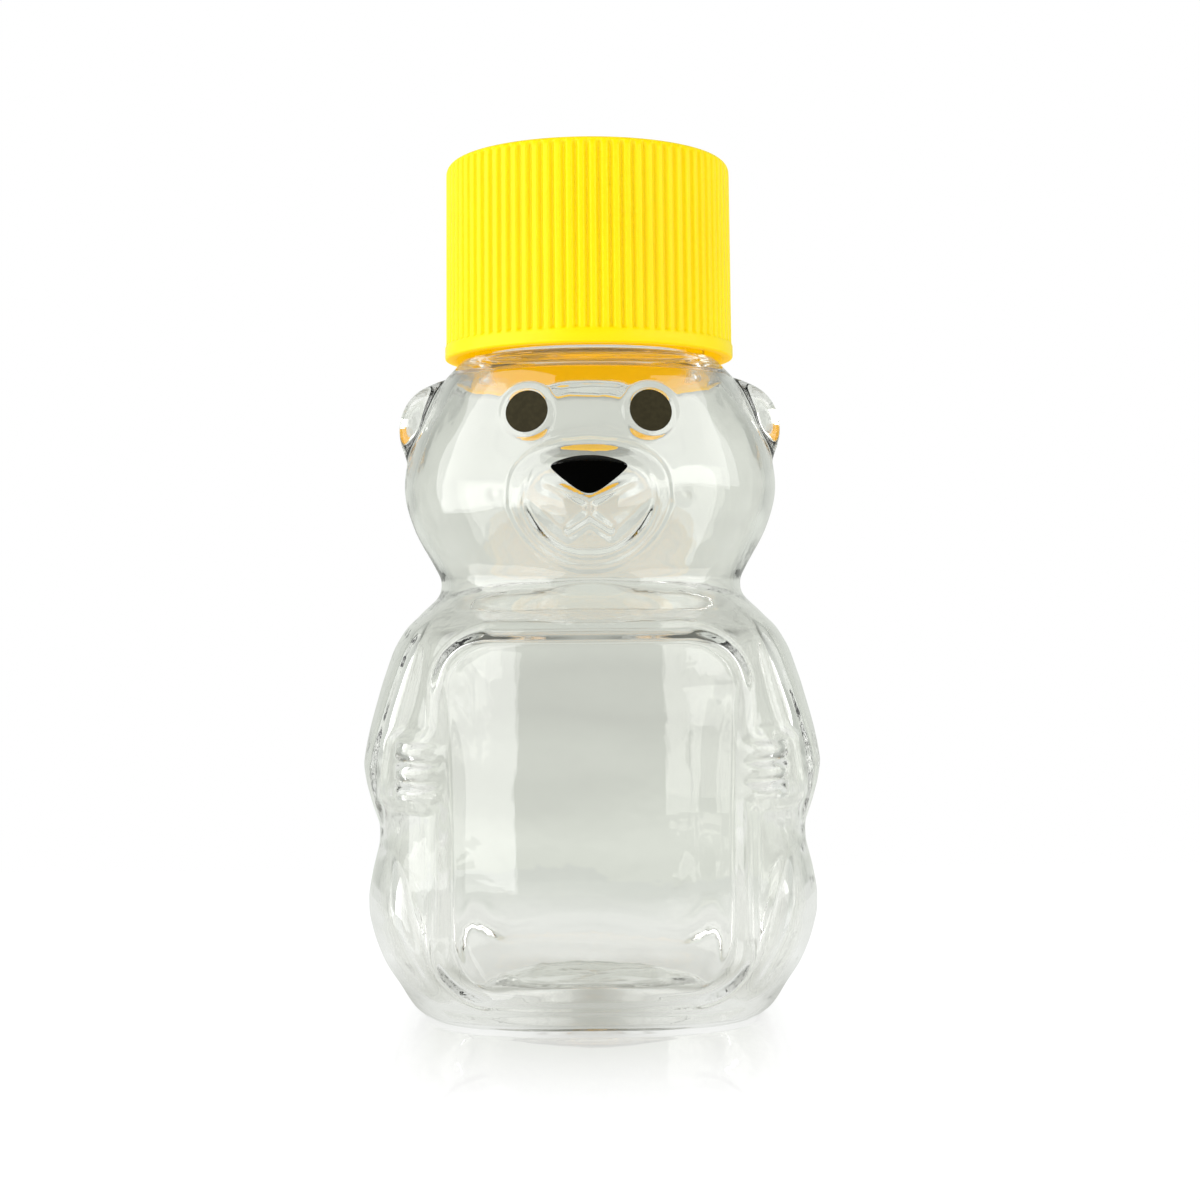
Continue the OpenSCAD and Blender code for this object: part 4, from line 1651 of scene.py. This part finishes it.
    def floor(self) -> None:
        """Lay the pale floor."""
        half = self.floor_half * MM
        corners = [(-half, -half, 0.0), (half, -half, 0.0), (half, half, 0.0), (-half, half, 0.0)]
        mesh = bpy.data.meshes.new("floor")
        mesh.from_pydata(corners, [], [[0, 1, 2, 3]])
        floor = bpy.data.objects.new("floor", mesh)
        bpy.context.scene.collection.objects.link(floor)
        dress(floor, self.floor_sheet())

    def world(self) -> None:
        """Surround the scene with white as seen by the eye, and with a soft grey studio in the glass."""
        world = bpy.data.worlds.new("studio")
        bpy.context.scene.world = world
        world.use_nodes = True
        tree = world.node_tree
        tree.nodes.clear()
        place = add_node(tree, "ShaderNodeTexCoord").outputs["Generated"]
        axes = add_node(tree, SEPARATE, {}, {0: place}).outputs
        depth = add_node(tree, MAP_RANGE, {"From Min": -1.0, "From Max": 1.0}, {"Value": axes["Y"]})
        ramp = add_node(tree, RAMP, {}, {"Fac": depth.outputs["Result"]})
        wall = self.set_stops(ramp, self.wall_stops)
        rise = add_node(tree, MAP_RANGE, {"From Min": self.horizon}, {"Value": axes["Z"]})
        ramp = add_node(tree, RAMP, {}, {"Fac": rise.outputs["Result"]})
        share = self.set_stops(ramp, self.bright_stops)
        bright = {"data_type": "RGBA", SECOND: linear(self.bright)}
        walls = add_node(tree, MIX, bright, {0: share, FIRST: wall})
        ramp = add_node(tree, RAMP, {}, {"Fac": axes["Z"]})
        share = self.set_stops(ramp, self.ceiling_stops)
        ceiling = {"data_type": "RGBA", SECOND: linear(self.ceiling)}
        room = add_node(tree, MIX, ceiling, {0: share, FIRST: walls.outputs[MIXED]})
        grey = add_node(tree, BACKGROUND, {"Strength": 1.0}, {"Color": room.outputs[MIXED]})
        white = add_node(tree, BACKGROUND, {"Color": linear("FFFFFF"), "Strength": 1.0})
        ray = add_node(tree, "ShaderNodeLightPath").outputs["Is Camera Ray"]
        mix = add_node(tree, MIX_SHADER, {}, {0: ray, 1: grey.outputs[0], 2: white.outputs[0]})
        add_node(tree, "ShaderNodeOutputWorld", {}, {"Surface": mix.outputs[0]})

    def build(self) -> None:
        """Build the whole studio."""
        self.camera()
        self.floor()
        self.world()
        for box in self.boxes:
            box.hang()
        bpy.context.scene.view_settings.view_transform = "Standard"
        bpy.context.scene.view_settings.look = "None"
        cycles = bpy.context.scene.cycles
        cycles.max_bounces = self.light_bounces
        cycles.transmission_bounces = self.light_bounces
        cycles.glossy_bounces = self.light_bounces


def box_of(*names: str) -> tuple[Vector, Vector]:
    """Read the box of CAD nodes in millimetres.

    Args:
        names: The nodes' names.

    Returns:
        The lowest and the highest corner.
    """
    boxes = [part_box(name) for name in names]
    low = Vector([min(b[0][i] for b in boxes) for i in range(3)])
    high = Vector([max(b[1][i] for b in boxes) for i in range(3)])
    return low / MM, high / MM


def main() -> None:
    """Build the bottle's pieces in order, then the studio round them."""
    logging.basicConfig(level=logging.INFO, format="%(message)s")
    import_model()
    Studio().build()

    rim = box_of("bottle")[1].z
    cap_low, cap_high = box_of("cap")

    bear = BearBottle(rim)
    bottle = bear.build()
    dress(bottle, MouldedPet().material())
    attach(bottle, "bottle")
    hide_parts("bottle")
    log.info("bottle: %d faces", len(bottle.data.polygons))

    closure = ScrewCap(cap_low.z, cap_high.z, cap_high.x, rim)
    cap = closure.build()
    closure.dress(cap)
    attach(cap, "cap")
    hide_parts("cap")
    log.info("cap: %d faces", len(cap.data.polygons))

    dress(bpy.data.objects["liner"], FoamedPolyethylene().material())
    log.info("liner: the packed disc with a foam finish")

    eye_finish = PrintedEnamel("printed enamel, thin", "15130C", "3A3524", 1.0, 0.05).material()
    nose_finish = PrintedEnamel("printed enamel, full", "010101", "060605", 0.5, 0.01).material()
    marks = (
        ("left_eye", PaintedMark("left_eye"), eye_finish),
        ("right_eye", PaintedMark("right_eye"), eye_finish),
        ("nose", PaintedNose(bear.face), nose_finish),
    )
    for node, film, finish in marks:
        mark = film.build()
        dress(mark, finish)
        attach(mark, "bottle")
        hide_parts(node)
        log.info("%s: painted film", node)


if __name__ == "__main__":
    main()
